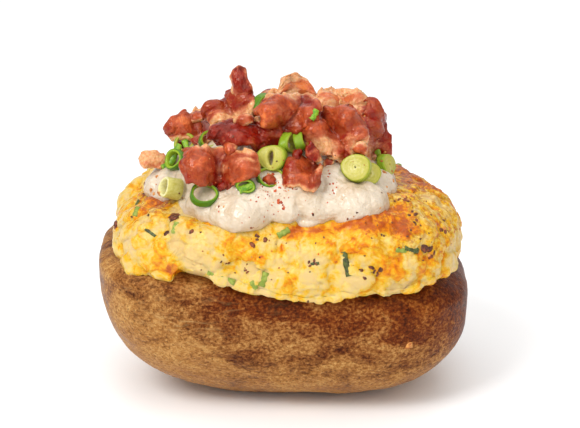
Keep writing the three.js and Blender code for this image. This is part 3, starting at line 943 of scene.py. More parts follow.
@dataclass
class Dollop:
    """The dollop of sour cream: a broad pillow with a soft peak and lobes round its edge.

    bulge is how far its edge swells, and front_bulge what is added to that at the left of its front. folds
    are its two sizes of soft fold, each given by how far apart and how high they are.
    """

    box: RoundedBox = RoundedBox(38.2, 32, 10.5, 9, 2.3, 2.5)
    level: float = 68.0
    peak: float = 11.5
    spread: float = 0.6
    middle: tuple[float, float] = (-1.9, -0.5)
    lobes: tuple[tuple[int, float, float], ...] = ((5, 0.045, 3.4), (11, 0.025, 1.9))
    bulge: float = 2.0
    front_bulge: float = 1.1
    sway: tuple[float, float] = (14, 0.8)
    folds: tuple[tuple[float, float], ...] = ((11, 2.6), (5, 1.7))
    ripples: Bumps = Bumps(9, 0.8, 4, 1)
    columns: int = 420

    def covers(self, x: np.ndarray, y: np.ndarray) -> np.ndarray:
        """Returns 1 where a place lies under the dollop and 0 well beside it."""
        along, deep = self.middle
        return eased(1.2 - np.hypot((x - along) / self.box.long, (y - deep) / self.box.deep), 0, 0.15)

    def plain(self) -> tuple[np.ndarray, np.ndarray]:
        """Lays out the pillow with its lobes and its peak.

        Returns:
            The points by row and column, and how far up each is.
        """
        climbs = np.concatenate([np.linspace(-1.5, -0.6, 8, endpoint=False), np.linspace(-0.6, 1.5, 100)])
        way = directions(self.columns, climbs)
        point, share, rise = self.box.at(way)
        around = np.arctan2(point[..., 1], point[..., 0])
        lobe = 1 + sum(size * np.cos(count * around + turn) for count, size, turn in self.lobes)
        point[..., :2] *= (1 + (lobe - 1) * share**2)[..., None]
        peak = self.peak * np.exp(-((share / self.spread) ** 2))
        point[..., 2] += self.level + np.where(way[..., 2] > 0, peak, 0)
        apart, high = self.sway
        point[..., 2] += (unevenness(point.reshape(-1, 3), apart) * high).reshape(share.shape)
        point[..., :2] += self.middle
        return point, rise

    def form(self) -> Form:
        """Makes the dollop, with its soft folds and the swell of its edge.

        Returns:
            The dollop.
        """
        point, rise = self.plain()
        flat = point.reshape(-1, 3)
        x, y, _ = flat.T
        warp = warped(flat, 9)
        (wide_apart, wide_high), (near_apart, near_high) = self.folds
        large, _ = lumps(flat + warp * 2.5, wide_apart, 1)
        small, _ = lumps(flat + warp * 1.5, near_apart, 2)
        height = (large - 0.85) * wide_high + (small - 0.7) * near_high + self.ripples.at(flat) - 0.3
        at_left = eased(-x, 4, 16) * eased(x, -34, -22)
        bulge = self.bulge + self.front_bulge * at_left * eased(-y, 0, 15)
        height += bulge * np.exp(-(((rise.reshape(-1) + 0.15) / 0.4) ** 2))
        points, faces = wrapped(point + grid_normals(point) * height.reshape(rise.shape)[..., None])
        return Form(points, faces)

    def build(self) -> bpy.types.Object:
        """Makes the dollop's object."""
        return make_piece("sour_cream_dollop", self.form(), CREAM, ["sour_cream"])


@dataclass(frozen=True)
class Patch:
    """A patch of the filling's front: its middle and half sizes, and the cheese and toast that it adds."""

    along: float
    up: float
    wide: float
    tall: float
    cheese: float
    toast: float = 0.0


FILLING_PATCHES = (
    Patch(-48, 56, 5, 9, 0.3),
    Patch(-41, 61, 5.5, 3.5, 0.6, 0.9),
    Patch(-39, 56, 3.5, 3, 0.55, 0.9),
    Patch(-41, 44, 7, 6, 0.12),
    Patch(-36.5, 37, 6, 3, 0.45),
    Patch(-12.5, 44.5, 6.5, 3.5, 0.6),
    Patch(-28, 49.5, 4, 2, 0.35),
    Patch(-21, 36.5, 9, 6, -0.12),
    Patch(12, 43.5, 8, 4, 0.25),
    Patch(9, 40, 3, 3, -0.15),
    Patch(8, 32.5, 12, 5, 0.08),
    Patch(25, 42.5, 7, 5, 0.32),
    Patch(31, 54, 7, 5, 0.5, 0.35),
    Patch(37.5, 48, 3.5, 4, 0.45, 0.5),
    Patch(34, 35.5, 6, 3, 0.25),
    Patch(51, 42.5, 3, 5, -0.2),
    Patch(39.5, 64, 9, 3.5, 0.45, 0.9),
    Patch(5, 48.5, 9, 2.5, 0.5),
    Patch(20, 50, 10, 2.5, 0.55),
    Patch(33, 49, 6, 3, 0.4),
    Patch(17, 46, 9, 4, 0.25),
    Patch(3, 34, 3, 3, 0.2),
    Patch(15, 31, 3.5, 2.5, 0.2),
)


@dataclass(frozen=True)
class Mash:
    """How the mash lies at some points.

    large, middle and small are its three sizes of lumps, and bulk and own the random values of the first
    two. crags is how sharp it is, cheese and toast are what its patches add, and right is how far it is into
    the rough right end.
    """

    large: np.ndarray
    bulk: np.ndarray
    middle: np.ndarray
    own: np.ndarray
    small: np.ndarray
    crags: np.ndarray
    cheese: np.ndarray
    toast: np.ndarray
    right: np.ndarray


@dataclass
class Filling:
    """The heap of cheesy mash: a broad mound that hangs over the rim, lumpy, with toasted crags.

    Its widest line is floor high in the middle and runs to the lip at its outline, and it sags by under
    below that. bed is how far the cream presses into it, and plain the cheese and toast of its hidden body.
    """

    box: RoundedBox = RoundedBox(54.6, 39.8, 1, 1, 3, 2.8)
    middle: float = 0.9
    top: float = 71.5
    floor: float = 47.0
    under: float = 4.0
    left_sag: float = 3.0
    bed: float = 0.8
    plain: float = 0.2
    swells: tuple[tuple[float, float], ...] = ((15, 1.4), (8, 1.0))
    lump_sizes: Triple = (10, 4.8, 1.9)
    crags: Bumps = Bumps(4.2, 2, 3, 6)
    melting: Bumps = Bumps(12, 0.3, 2, 4)
    heave: Bumps = Bumps(11, 0.8, 2, 7)
    jags: Bumps = Bumps(4.2, 1, 4, 13, (1.3, 1.3, 0.8))
    tears: Bumps = Bumps(16, 1, 1, 15)
    cheesiness: Bumps = Bumps(9, 0.2, 2, 11)
    columns: int = 600
    lip: Lip = field(default_factory=Lip)

    def climbs(self) -> np.ndarray:
        """Spaces the rows, closest together over the part that shows.

        Returns:
            The climbs, in radians.
        """
        under = np.linspace(-1.5, -0.5, 10, endpoint=False)
        side = np.linspace(-0.5, 1.0, 108, endpoint=False)
        return np.concatenate([under, side, np.linspace(1.0, 1.5, 14)])

    def mound(self, way: np.ndarray) -> tuple[np.ndarray, np.ndarray]:
        """Finds the plain mound's points.

        Args:
            way: Unit directions by row and column.

        Returns:
            The point in each direction, and how far up (1) or down (-1) each is.
        """
        point, share, rise = self.box.at(way)
        edge = self.floor + (self.lip.height(point[..., 0], point[..., 1]) - self.floor) * share**4
        sag = self.under + self.left_sag * eased(-point[..., 0], 30, 48)
        tall = np.where(rise > 0, self.top - edge, sag)
        point = np.stack([point[..., 0], point[..., 1], edge + rise * tall], axis=-1)
        away = np.stack([point[..., 0] / self.box.long, point[..., 1] / self.box.deep, rise], axis=-1)
        away /= np.linalg.norm(away, axis=-1, keepdims=True)
        flat = point.reshape(-1, 3)
        swell = sum(unevenness(flat, apart) * height for apart, height in self.swells).reshape(rise.shape)
        point = point + away * (swell * eased(rise, -0.35, 0.1))[..., None]
        point[..., 0] += self.middle
        return point, rise

    def patched(self, points: np.ndarray) -> tuple[np.ndarray, np.ndarray]:
        """Adds up the patches at some points, the back's being the front's turned round.

        Args:
            points: Where, in millimetres.

        Returns:
            What they add to the cheese and to the toast.
        """
        x, y, z = points.T
        up = z * math.cos(VIEW_LEAN) - np.abs(y) * math.sin(VIEW_LEAN)
        back = eased(y, -6, 6)
        cheese, toast = np.zeros(len(x)), np.zeros(len(x))
        for patch in FILLING_PATCHES:
            for facing, weight in ((1, 1 - back), (-1, back)):
                away = ((x * facing - patch.along) / patch.wide) ** 2 + ((up - patch.up) / patch.tall) ** 2
                weight = weight * np.exp(-away)
                cheese += patch.cheese * weight
                toast += patch.toast * weight
        return cheese, toast

    def mashed(self, points: np.ndarray) -> Mash:
        """Works out how the mash lies.

        Args:
            points: The points.

        Returns:
            Its lumps, crags and patches there.
        """
        warp = warped(points, 5)
        wide, near, tiny = self.lump_sizes
        large, bulk = lumps(points + warp * 2, wide, 1)
        middle, own = lumps(points + warp * 1.3, near, 2)
        small, _ = lumps(points + warp, tiny, 3)
        crags = 1 - np.abs(self.crags.at(points))
        right = eased(points[:, 0], 18, 50)
        return Mash(large, bulk, middle, own, small, crags, *self.patched(points), right)

    def relief(self, points: np.ndarray, rise: np.ndarray, mash: Mash) -> np.ndarray:
        """Works out how far the mash stands out, in its lumps, its crags and the torn edge over the rim.

        Args:
            points: Where, in millimetres.
            rise: How far up the mound each point is.
            mash: How the mash lies there.

        Returns:
            The height at each point, in millimetres.
        """
        melt = np.clip(mash.cheese + 0.25 * mash.right + self.melting.at(points) + 0.15, 0, 1)
        rough = np.clip(mash.right + mash.toast, 0.15, 1)
        height = (mash.large * (0.5 + mash.bulk) - 0.6) * 2.0
        height += (mash.middle * (0.3 + 1.3 * mash.own) - 0.5) * (1.5 - 1.1 * melt)
        height += (mash.small - 0.5) * 0.18 + mash.crags * 0.35 * rough + self.heave.at(points)
        at_lip = np.exp(-(((rise + 0.2) / 0.3) ** 2))
        jags = self.jags.at(points)
        torn = 0.3 + eased(self.tears.at(points), -0.4, 0.5)
        return height + ((jags * 1.5 * torn + 0.2) * at_lip + jags * 0.7 * mash.right)

    def marks(self, points: np.ndarray, mash: Mash) -> dict[str, np.ndarray]:
        """Works out how cheesy and how toasted the mash is, with painted shade making the hollows between
        its lumps oranger.

        Args:
            points: Where, in millimetres.
            mash: How the mash lies there.

        Returns:
            The two values at each point and, as zeros, at the mesh's two ends.
        """
        upper = eased(points[:, 2], 50, 66)
        cheese = 0.31 + (0.2 + 0.12 * upper) * mash.right + mash.cheese
        cheese += (mash.own - 0.5) * 0.3 + self.cheesiness.at(points)
        # Painted shade: the hollows between the lumps are made oranger and the lumps paler.
        cheese += (0.55 - mash.middle) * 0.4 + (0.6 - mash.large) * 0.3
        toast = (mash.toast + 0.2 * mash.right + 0.24 * upper) * (0.35 + mash.small * 0.8)
        toast += eased(mash.crags, 0.7, 1) * 0.25 * mash.right
        marks = {"cheese": cheese, "toast": np.clip(toast, 0, 1)}
        return {name: np.concatenate([mark, np.zeros(2)]) for name, mark in marks.items()}

    def form(self, cream: Dollop) -> Form:
        """Makes the mound with its lumps and crags, lying a little lower where the cream is on it.

        Args:
            cream: The dollop.

        Returns:
            The mound.
        """
        rows, rise = self.mound(directions(self.columns, self.climbs()))
        flat, climb = rows.reshape(-1, 3), rise.reshape(-1)
        mash = self.mashed(flat)
        under = cream.covers(flat[:, 0], flat[:, 1])
        height = self.relief(flat, climb, mash) * (1 - 0.5 * under) - self.bed * under
        shows = eased(climb, -0.75, -0.2)
        rows = rows + grid_normals(rows) * (height * shows).reshape(rise.shape)[..., None]
        points, faces = wrapped(rows)
        return Form(points, faces, self.marks(flat, mash))

    def build(self, inside: Form, cream: Dollop) -> bpy.types.Object:
        """Makes the filling's object.

        Args:
            inside: The body of filling down in the scoop.
            cream: The dollop that lies on the heap.

        Returns:
            The object.
        """
        inside.values = {name: np.full(len(inside.points), self.plain) for name in ("cheese", "toast")}
        whole = join_all([self.form(cream), inside])
        return make_piece("cheesy_filling", whole, MASH, ["filling"])


def turned(heading: float, tilt: float, roll: float) -> np.ndarray:
    """Joins three turns, the roll first and the heading last.

    Args:
        heading: The turn about Z, in degrees.
        tilt: The turn about X.
        roll: The turn about Y.

    Returns:
        The rotation.
    """
    z, x, y = (math.radians(v) for v in (heading, tilt, roll))
    about_z = np.array([[math.cos(z), -math.sin(z), 0], [math.sin(z), math.cos(z), 0], [0, 0, 1]])
    about_x = np.array([[1, 0, 0], [0, math.cos(x), -math.sin(x)], [0, math.sin(x), math.cos(x)]])
    about_y = np.array([[math.cos(y), 0, math.sin(y)], [0, 1, 0], [-math.sin(y), 0, math.cos(y)]])
    return about_z @ about_x @ about_y


def shift_to_node(low: np.ndarray, high: np.ndarray, node: str) -> np.ndarray:
    """Finds the move that puts a box's middle and top where a node of the frame has them.

    Args:
        low: The box's least corner, in millimetres.
        high: Its greatest corner.
        node: The node's name.

    Returns:
        The move, in millimetres.
    """
    corners = [np.array(c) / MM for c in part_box(node)]
    move = (corners[0] + corners[1] - low - high) / 2
    move[2] = corners[1][2] - high[2]
    return move


@dataclass(frozen=True)
class Streaks:
    """Where a piece of bacon is fat and how red its lean is.

    fat is the share of fat, and along and across lean it to one end or one edge. tone is how red the lean
    is, from maroon (0) to orange (1), and redden leans that to one end.
    """

    fat: float = 0.3
    along: float = 0.0
    across: float = 0.0
    tone: float = 0.4
    redden: float = 0.0


@dataclass(frozen=True)
class Crinkles:
    """How a piece of bacon is crinkled, on a grid of points.

    place is where each point of the flat piece is, share and side how far along and across it is, wave, bead
    and vein how far up it is in waves, beads and thin veins, and edge how far in from the edge.
    """

    place: np.ndarray
    share: np.ndarray
    side: np.ndarray
    wave: np.ndarray
    bead: np.ndarray
    vein: np.ndarray
    edge: np.ndarray


@dataclass(frozen=True)
class BaconGrain:
    """The kinds of unevenness that all the bacon has: in its form, then in its streaks."""

    torn: Bumps = Bumps(3.6, 1.3, 3, 1)
    wave: Bumps = Bumps(7, 1.1, 2, 5)
    frill: Bumps = Bumps(6, 4, 1, 3)
    thickness: Bumps = Bumps(6, 0.25, 2, 8)
    veins: Bumps = Bumps(2.8, 2.4, 2, 6, (0.6, 1.2, 1))
    wrinkles: Bumps = Bumps(1.6, 2.4, 2, 16, (0.7, 1.3, 1))
    bands: Bumps = Bumps(9, 0.6, 1, 9)
    fat: Bumps = Bumps(4, 0.5, 3, 10)
    fat_side: Bumps = Bumps(5, 0.45, 2, 12)
    fat_edge: Bumps = Bumps(5, 0.5, 1, 14)
    tone: Bumps = Bumps(6, 0.3, 2, 7)


GRAIN = BaconGrain()


@dataclass(frozen=True)
class BaconPiece:
    """One torn, crinkled piece of bacon, as in the frame, with its streaks.

    waves is how many times its centre line folds, and bend, phase and curl are in degrees. dome is how far
    its edges hang, taper how much each end narrows, and skew how far the folds lie askew. Each bulge is its
    place along (0 to 1) and across (-1 to 1), its radius and its height. knobs is how strong the small knobs
    are, and rounded how much the corners are rounded.
    """

    node: str
    turn: tuple[float, float, float]
    length: float
    width: float
    waves: float
    bend: float
    phase: float
    curl: float
    dome: float
    taper: tuple[float, float]
    streaks: Streaks = Streaks()
    bulges: tuple[tuple[float, float, float, float], ...] = ()
    skew: float = 0.0
    thick: float = 1.8
    knobs: float = 1.0
    steps: int = 60
    cell: float = 0.36
    rounded: float = 0.34
    edge_round: float = 1.2

    @property
    def seed(self) -> int:
        """Returns a number of the piece's own, which sets its noise."""
        return sum(ord(letter) * (place + 1) for place, letter in enumerate(self.node)) % 89

    def line(self) -> tuple[np.ndarray, np.ndarray, np.ndarray]:
        """Folds the crinkled centre line.

        Returns:
            How far along and up each step is, and its slope.
        """
        bend, phase, curl = (math.radians(v) for v in (self.bend, self.phase, self.curl))
        share = np.arange(self.steps + 1) / self.steps
        slope = bend * np.sin(2 * np.pi * self.waves * share + phase) + curl * (0.5 - share)
        run = np.concatenate([[0], np.cumsum(np.cos(slope[:-1]))]) * self.length / self.steps
        rise = np.concatenate([[0], np.cumsum(np.sin(slope[:-1]))]) * self.length / self.steps
        return run - run.mean(), rise - rise.mean(), slope

    def surface(self, share: np.ndarray, side: np.ndarray, skew: float = 0.0) -> np.ndarray:
        """Finds points of the middle surface.

        Args:
            share: How far along the piece, 0 to 1.
            side: How far across it, -1 to 1.
            skew: How far along the folds shift from the middle to an edge.

        Returns:
            The points, before the piece is turned.
        """
        run, rise, slope = self.line()
        steps = np.linspace(0, 1, self.steps + 1)
        folded = np.clip(share + skew * side, 0, 1)
        x = np.interp(share, steps, run)
        z = np.interp(folded, steps, rise)
        lean = np.interp(folded, steps, slope)
        ragged = 1 + 0.1 * np.sin(share * 11 + self.phase + side * 2)
        start, end = self.taper
        half = self.width / 2 * (1 - start * (1 - share) ** 2 - end * share**2) * ragged
        ruffle = 0.04 * self.width * side * np.sin(2 * np.pi * self.waves * 1.4 * share + 1)
        lift = ruffle - self.dome * side * side
        return np.stack([x - np.sin(lean) * lift, side * half, z + np.cos(lean) * lift], axis=-1)

    def way_out(self, share: np.ndarray, side: np.ndarray, skew: float = 0.0) -> np.ndarray:
        """Works out the way out of the middle surface's upper face.

        Args:
            share: How far along the piece, 0 to 1.
            side: How far across it, -1 to 1.
            skew: How far along the folds shift from the middle to an edge.

        Returns:
            A unit way for each point.
        """
        nudge = 0.01
        ahead = self.surface(share + nudge, side, skew) - self.surface(share - nudge, side, skew)
        aside = self.surface(share, side + nudge, skew) - self.surface(share, side - nudge, skew)
        out = np.cross(ahead, aside)
        return out / np.linalg.norm(out, axis=-1, keepdims=True)

    def plain_box(self) -> tuple[np.ndarray, np.ndarray]:
        """Finds the box that the frame's own plain strip fills, once turned.

        Returns:
            Its least and its greatest corner.
        """
        grid = np.meshgrid(np.linspace(0, 1, 8), np.linspace(-1, 1, 4), indexing="ij")
        share, side = (lines.reshape(-1) for lines in grid)
        on_rim = (share == 0) | (share == 1) | (np.abs(side) == 1)
        half = self.thick / 2 * np.where(on_rim, 0.65, 1)[:, None]
        middle, out = self.surface(share, side), self.way_out(share, side)
        corners = np.concatenate([middle + out * half, middle - out * half]) @ turned(*self.turn).T
        return corners.min(0), corners.max(0)

    def beads(self, place: np.ndarray) -> tuple[np.ndarray, np.ndarray]:
        """Finds the bulges that fat has puffed up, and small knobs between them.

        Args:
            place: The points of the flat piece.

        Returns:
            How far each point is up a bead, 0 to 1, and how high it stands, in millimetres.
        """
        bead = np.zeros(place.shape[:-1])
        lift = np.zeros(place.shape[:-1])
        for along, across, radius, tall in self.bulges:
            beside = place[..., 0] - (along - 0.5) * self.length
            away = np.hypot(beside, place[..., 1] - across * self.width / 2)
            dome = np.exp(-1.5 * (away / radius) ** 3)
            lift = np.maximum(lift, tall * dome)
            bead = np.maximum(bead, dome)
        knob, own = lumps(place.reshape(-1, 3), 4.2, 4)
        knob = (knob**1.5 * eased(own, 0.45, 0.7)).reshape(bead.shape) * (1 - bead * 0.6) * self.knobs
        return np.maximum(bead, knob * 0.8), lift + knob * 0.9

    def marks(self, at: Crinkles) -> dict[str, np.ndarray]:
        """Works out where the piece is fat, how red its lean is, partly as painted light and shade, and
        where painted shade darkens its low folds.

        Args:
            at: Where each point is in the crinkled piece.

        Returns:
            The three values by name.
        """
        look, place = self.streaks, at.place
        band = np.cos(np.pi * (at.side * 1.6 + self.seed * 0.37 + GRAIN.bands.at(place)))
        fat = look.fat + look.along * (2 * at.share - 1) + look.across * at.side
        fat += band * 0.25 + GRAIN.fat.at(place)
        outer = at.side * (1 if look.across >= 0 else -1) + GRAIN.fat_side.at(place)
        fat += eased(outer, 0.35, 0.8) * 0.7
        fat += (0.3 + GRAIN.fat_edge.at(place)) * (1 - eased(at.edge, 0.2, 2))
        fat += at.vein * 0.25 - at.bead * 0.3 - 0.22
        _, rise, _ = self.line()
        folded = np.clip(at.share + self.skew * at.side, 0, 1)
        climb = (rise - rise.min()) / max(np.ptp(rise), 0.1)
        depth = np.interp(folded, np.linspace(0, 1, self.steps + 1), climb)
        high_up = depth * 0.6 + at.wave * 0.22 + at.bead * 0.5 + at.vein * 0.08
        # The lean is made oranger high up and more maroon low in the folds, as painted light and shade, on
        # top of its own tone.
        tone = look.tone + look.redden * (2 * at.share - 1)
        tone += GRAIN.tone.at(place) + (high_up - 0.5) * 0.25
        # Painted shade: the lowest parts of the folds are darkened, less so on fatty pieces.
        crease_shade = np.clip(0.4 - high_up, 0, 0.5) * 1.7 * (1 - look.fat)
        return {"fat": fat, "tone": tone, "crease_shade": crease_shade}

    def shaped(self) -> Form:
        """Makes the piece in its own axes, with its ragged edge, beads and wrinkles.

        Returns:
            The piece.
        """
        rows, columns = round(self.length / self.cell), round(self.width / self.cell)
        t, s = np.meshgrid(np.linspace(-1, 1, rows + 1), np.linspace(-1, 1, columns + 1), indexing="ij")
        long = t * np.sqrt(1 - self.rounded * s**2)
        side = s * np.sqrt(1 - self.rounded * t**2)
        own = np.full(t.shape, self.seed * 7.3)
        place = np.stack([long * self.length / 2, side * self.width / 2, own], axis=-1)
        far = np.maximum(np.hypot(place[..., 0], place[..., 1]), 1)
        torn = (GRAIN.torn.at(place) - 0.2) * np.maximum(np.abs(t), np.abs(s)) ** 6 / far
        share, side = (1 + long * (1 + torn)) / 2, side * (1 + torn)
        bead, lift = self.beads(place)
        vein = 1 - np.abs(GRAIN.veins.at(place))
        wrinkle = 1 - np.abs(GRAIN.wrinkles.at(place))
        frill = np.sin(place[..., 0] * 1.4 + GRAIN.frill.at(place)) * s**4
        wave = GRAIN.wave.at(place) + frill * 0.7
        edge = np.minimum((1 - np.abs(t)) * self.length / 2, (1 - np.abs(s)) * self.width / 2)
        rounding = np.sqrt(np.clip(1 - (1 - np.clip(edge / self.edge_round, 0, 1)) ** 2, 0, 1))
        body = 0.5 * self.thick * (1 + GRAIN.thickness.at(place))
        out = self.way_out(share, side, self.skew)
        middle = self.surface(share, side, self.skew) + out * (wave + lift * 0.6)[..., None]
        above = body + lift * 0.4 + (vein * 0.35 + wrinkle * 0.16) * (1 - bead * 0.7)
        upper = middle + out * (above * rounding)[..., None]
        lower = middle - out * ((body + vein * 0.15) * rounding)[..., None]
        return sheet(upper, lower, self.marks(Crinkles(place, share, side, wave, bead, vein, edge)))

    def form(self) -> Form:
        """Makes the piece, turned and put where the frame has it.

        Returns:
            The piece in place.
        """
        made = self.shaped()
        low, high = self.plain_box()
        made.points = made.points @ turned(*self.turn).T + shift_to_node(low, high, self.node)
        return made

    def build(self) -> bpy.types.Object:
        """Makes the piece's object."""
        return make_piece(f"fried_{self.node}", self.form(), BACON, [self.node])


@dataclass(frozen=True)
class OnionSlice:
    """One slice of spring onion, as in the frame: rings one in another, some round a solid heart.

    oval is its width across against along, slit how far the ring is squeezed shut, lift how far it is raised
    over the frame's, layer how thick each ring is and soft how rounded its cut edges are.
    """

    node: str
    turn: tuple[float, float, float]
    radius: float
    wall: float
    height: float
    oval: float
    green: float = 0.5
    heart: bool = False
    seed: int = 0
    slit: float = 0.0
    lift: float = 0.0
    layer: float = 1.2
    soft: float = 0.3
    wobble: Bumps = Bumps(3.5, 0.28, 2)
    segments: int = 80

    def uneven(self, angle: np.ndarray) -> np.ndarray:
        """Returns how far out the slice goes at some angles round it, against its radius."""
        return 1 + 0.04 * np.sin(3 * angle + self.radius * 9)

    def plain_box(self) -> tuple[np.ndarray, np.ndarray]:
        """Finds the box that the frame's own plain ring fills, once turned.

        Returns:
            Its least and its greatest corner.
        """
        sides = 10
        angle = 2 * np.pi * np.arange(sides) / sides
        corners = []
        for reach, height in ((self.radius, -self.height / 2), (self.radius * 0.96, self.height / 2)):
            out = reach * self.uneven(angle)
            y = out * self.oval * np.sin(angle)
            corners.append(np.stack([out * np.cos(angle), y, np.full(sides, height)], axis=-1))
        points = np.concatenate(corners) @ turned(*self.turn).T
        return points.min(0), points.max(0)

    def section(self) -> tuple[np.ndarray, np.ndarray]:
        """Cuts through one side of the slice.

        Returns:
            How far out and how far up each corner of the cut is.
        """
        inmost = 0.3 if self.heart else self.radius - self.wall
        half, soft = self.height / 2, self.soft
        across = np.linspace(self.radius - soft, inmost + soft, 16)
        layer = np.cos((self.radius - across) / self.layer * 2 * np.pi)
        dip = half - 0.08 * eased(-layer, 0.4, 1)
        walls = np.linspace(-half + soft, half - soft, 4)
        reach = np.concatenate([np.full(4, self.radius), across, np.full(4, inmost), across[::-1]])
        rise = np.concatenate([walls, dip, walls[::-1], -dip[::-1]])
        return reach, rise

    def form(self) -> Form:
        """Makes the slice, put where the frame has it.

        Returns:
            The slice in place.
        """
        angle = np.linspace(0, 2 * np.pi, self.segments, endpoint=False)[:, None]
        reach, rise = self.section()
        inward = (self.radius - reach) / max(self.wall, 0.1)
        squeeze = 1 - self.slit * inward - 0.3 * (1 - reach / self.radius) * self.heart * np.cos(angle) ** 2
        out = reach * self.uneven(angle) * (1 - 0.02 * (1 + np.sign(rise)))
        x = out * np.cos(angle) * squeeze
        y = out * self.oval * np.sin(angle)
        z = rise + 0.15 * np.sin(2 * angle + self.seed) * np.ones_like(out)
        points = np.stack([x, y, z], axis=-1).reshape(-1, 3)
        points[:, 0] += self.wobble.at(points + self.seed * 9)
        points[:, 1] += self.wobble.at(points - self.seed * 9)
        at = np.arange(x.size).reshape(x.shape)
        above, after = np.roll(at, -1, axis=0), np.roll(at, -1, axis=1)
        corner = np.roll(above, -1, axis=1)
        faces = [tuple(f) for f in np.stack([at, above, corner, after], axis=-1).reshape(-1, 4).tolist()]
        deep = reach / self.radius
        skin = eased(reach, self.radius - 0.6, self.radius - 0.1)
        line = eased(np.cos((self.radius - reach) / self.layer * 2 * np.pi), 0.2, 1)
        green = self.green * (0.3 + 0.5 * deep) + 0.3 * skin * (0.4 + self.green) + 0.06 * line
        values = {"green": (green * np.ones_like(x)).reshape(-1)}
        low, high = self.plain_box()
        move = shift_to_node(low, high, self.node) + (0, 0, self.lift)
        return Form(points @ turned(*self.turn).T + move, faces, values)

    def build(self) -> bpy.types.Object:
        """Makes the slice's object."""
        return make_piece(f"sliced_{self.node}", self.form(), ONION, [self.node])


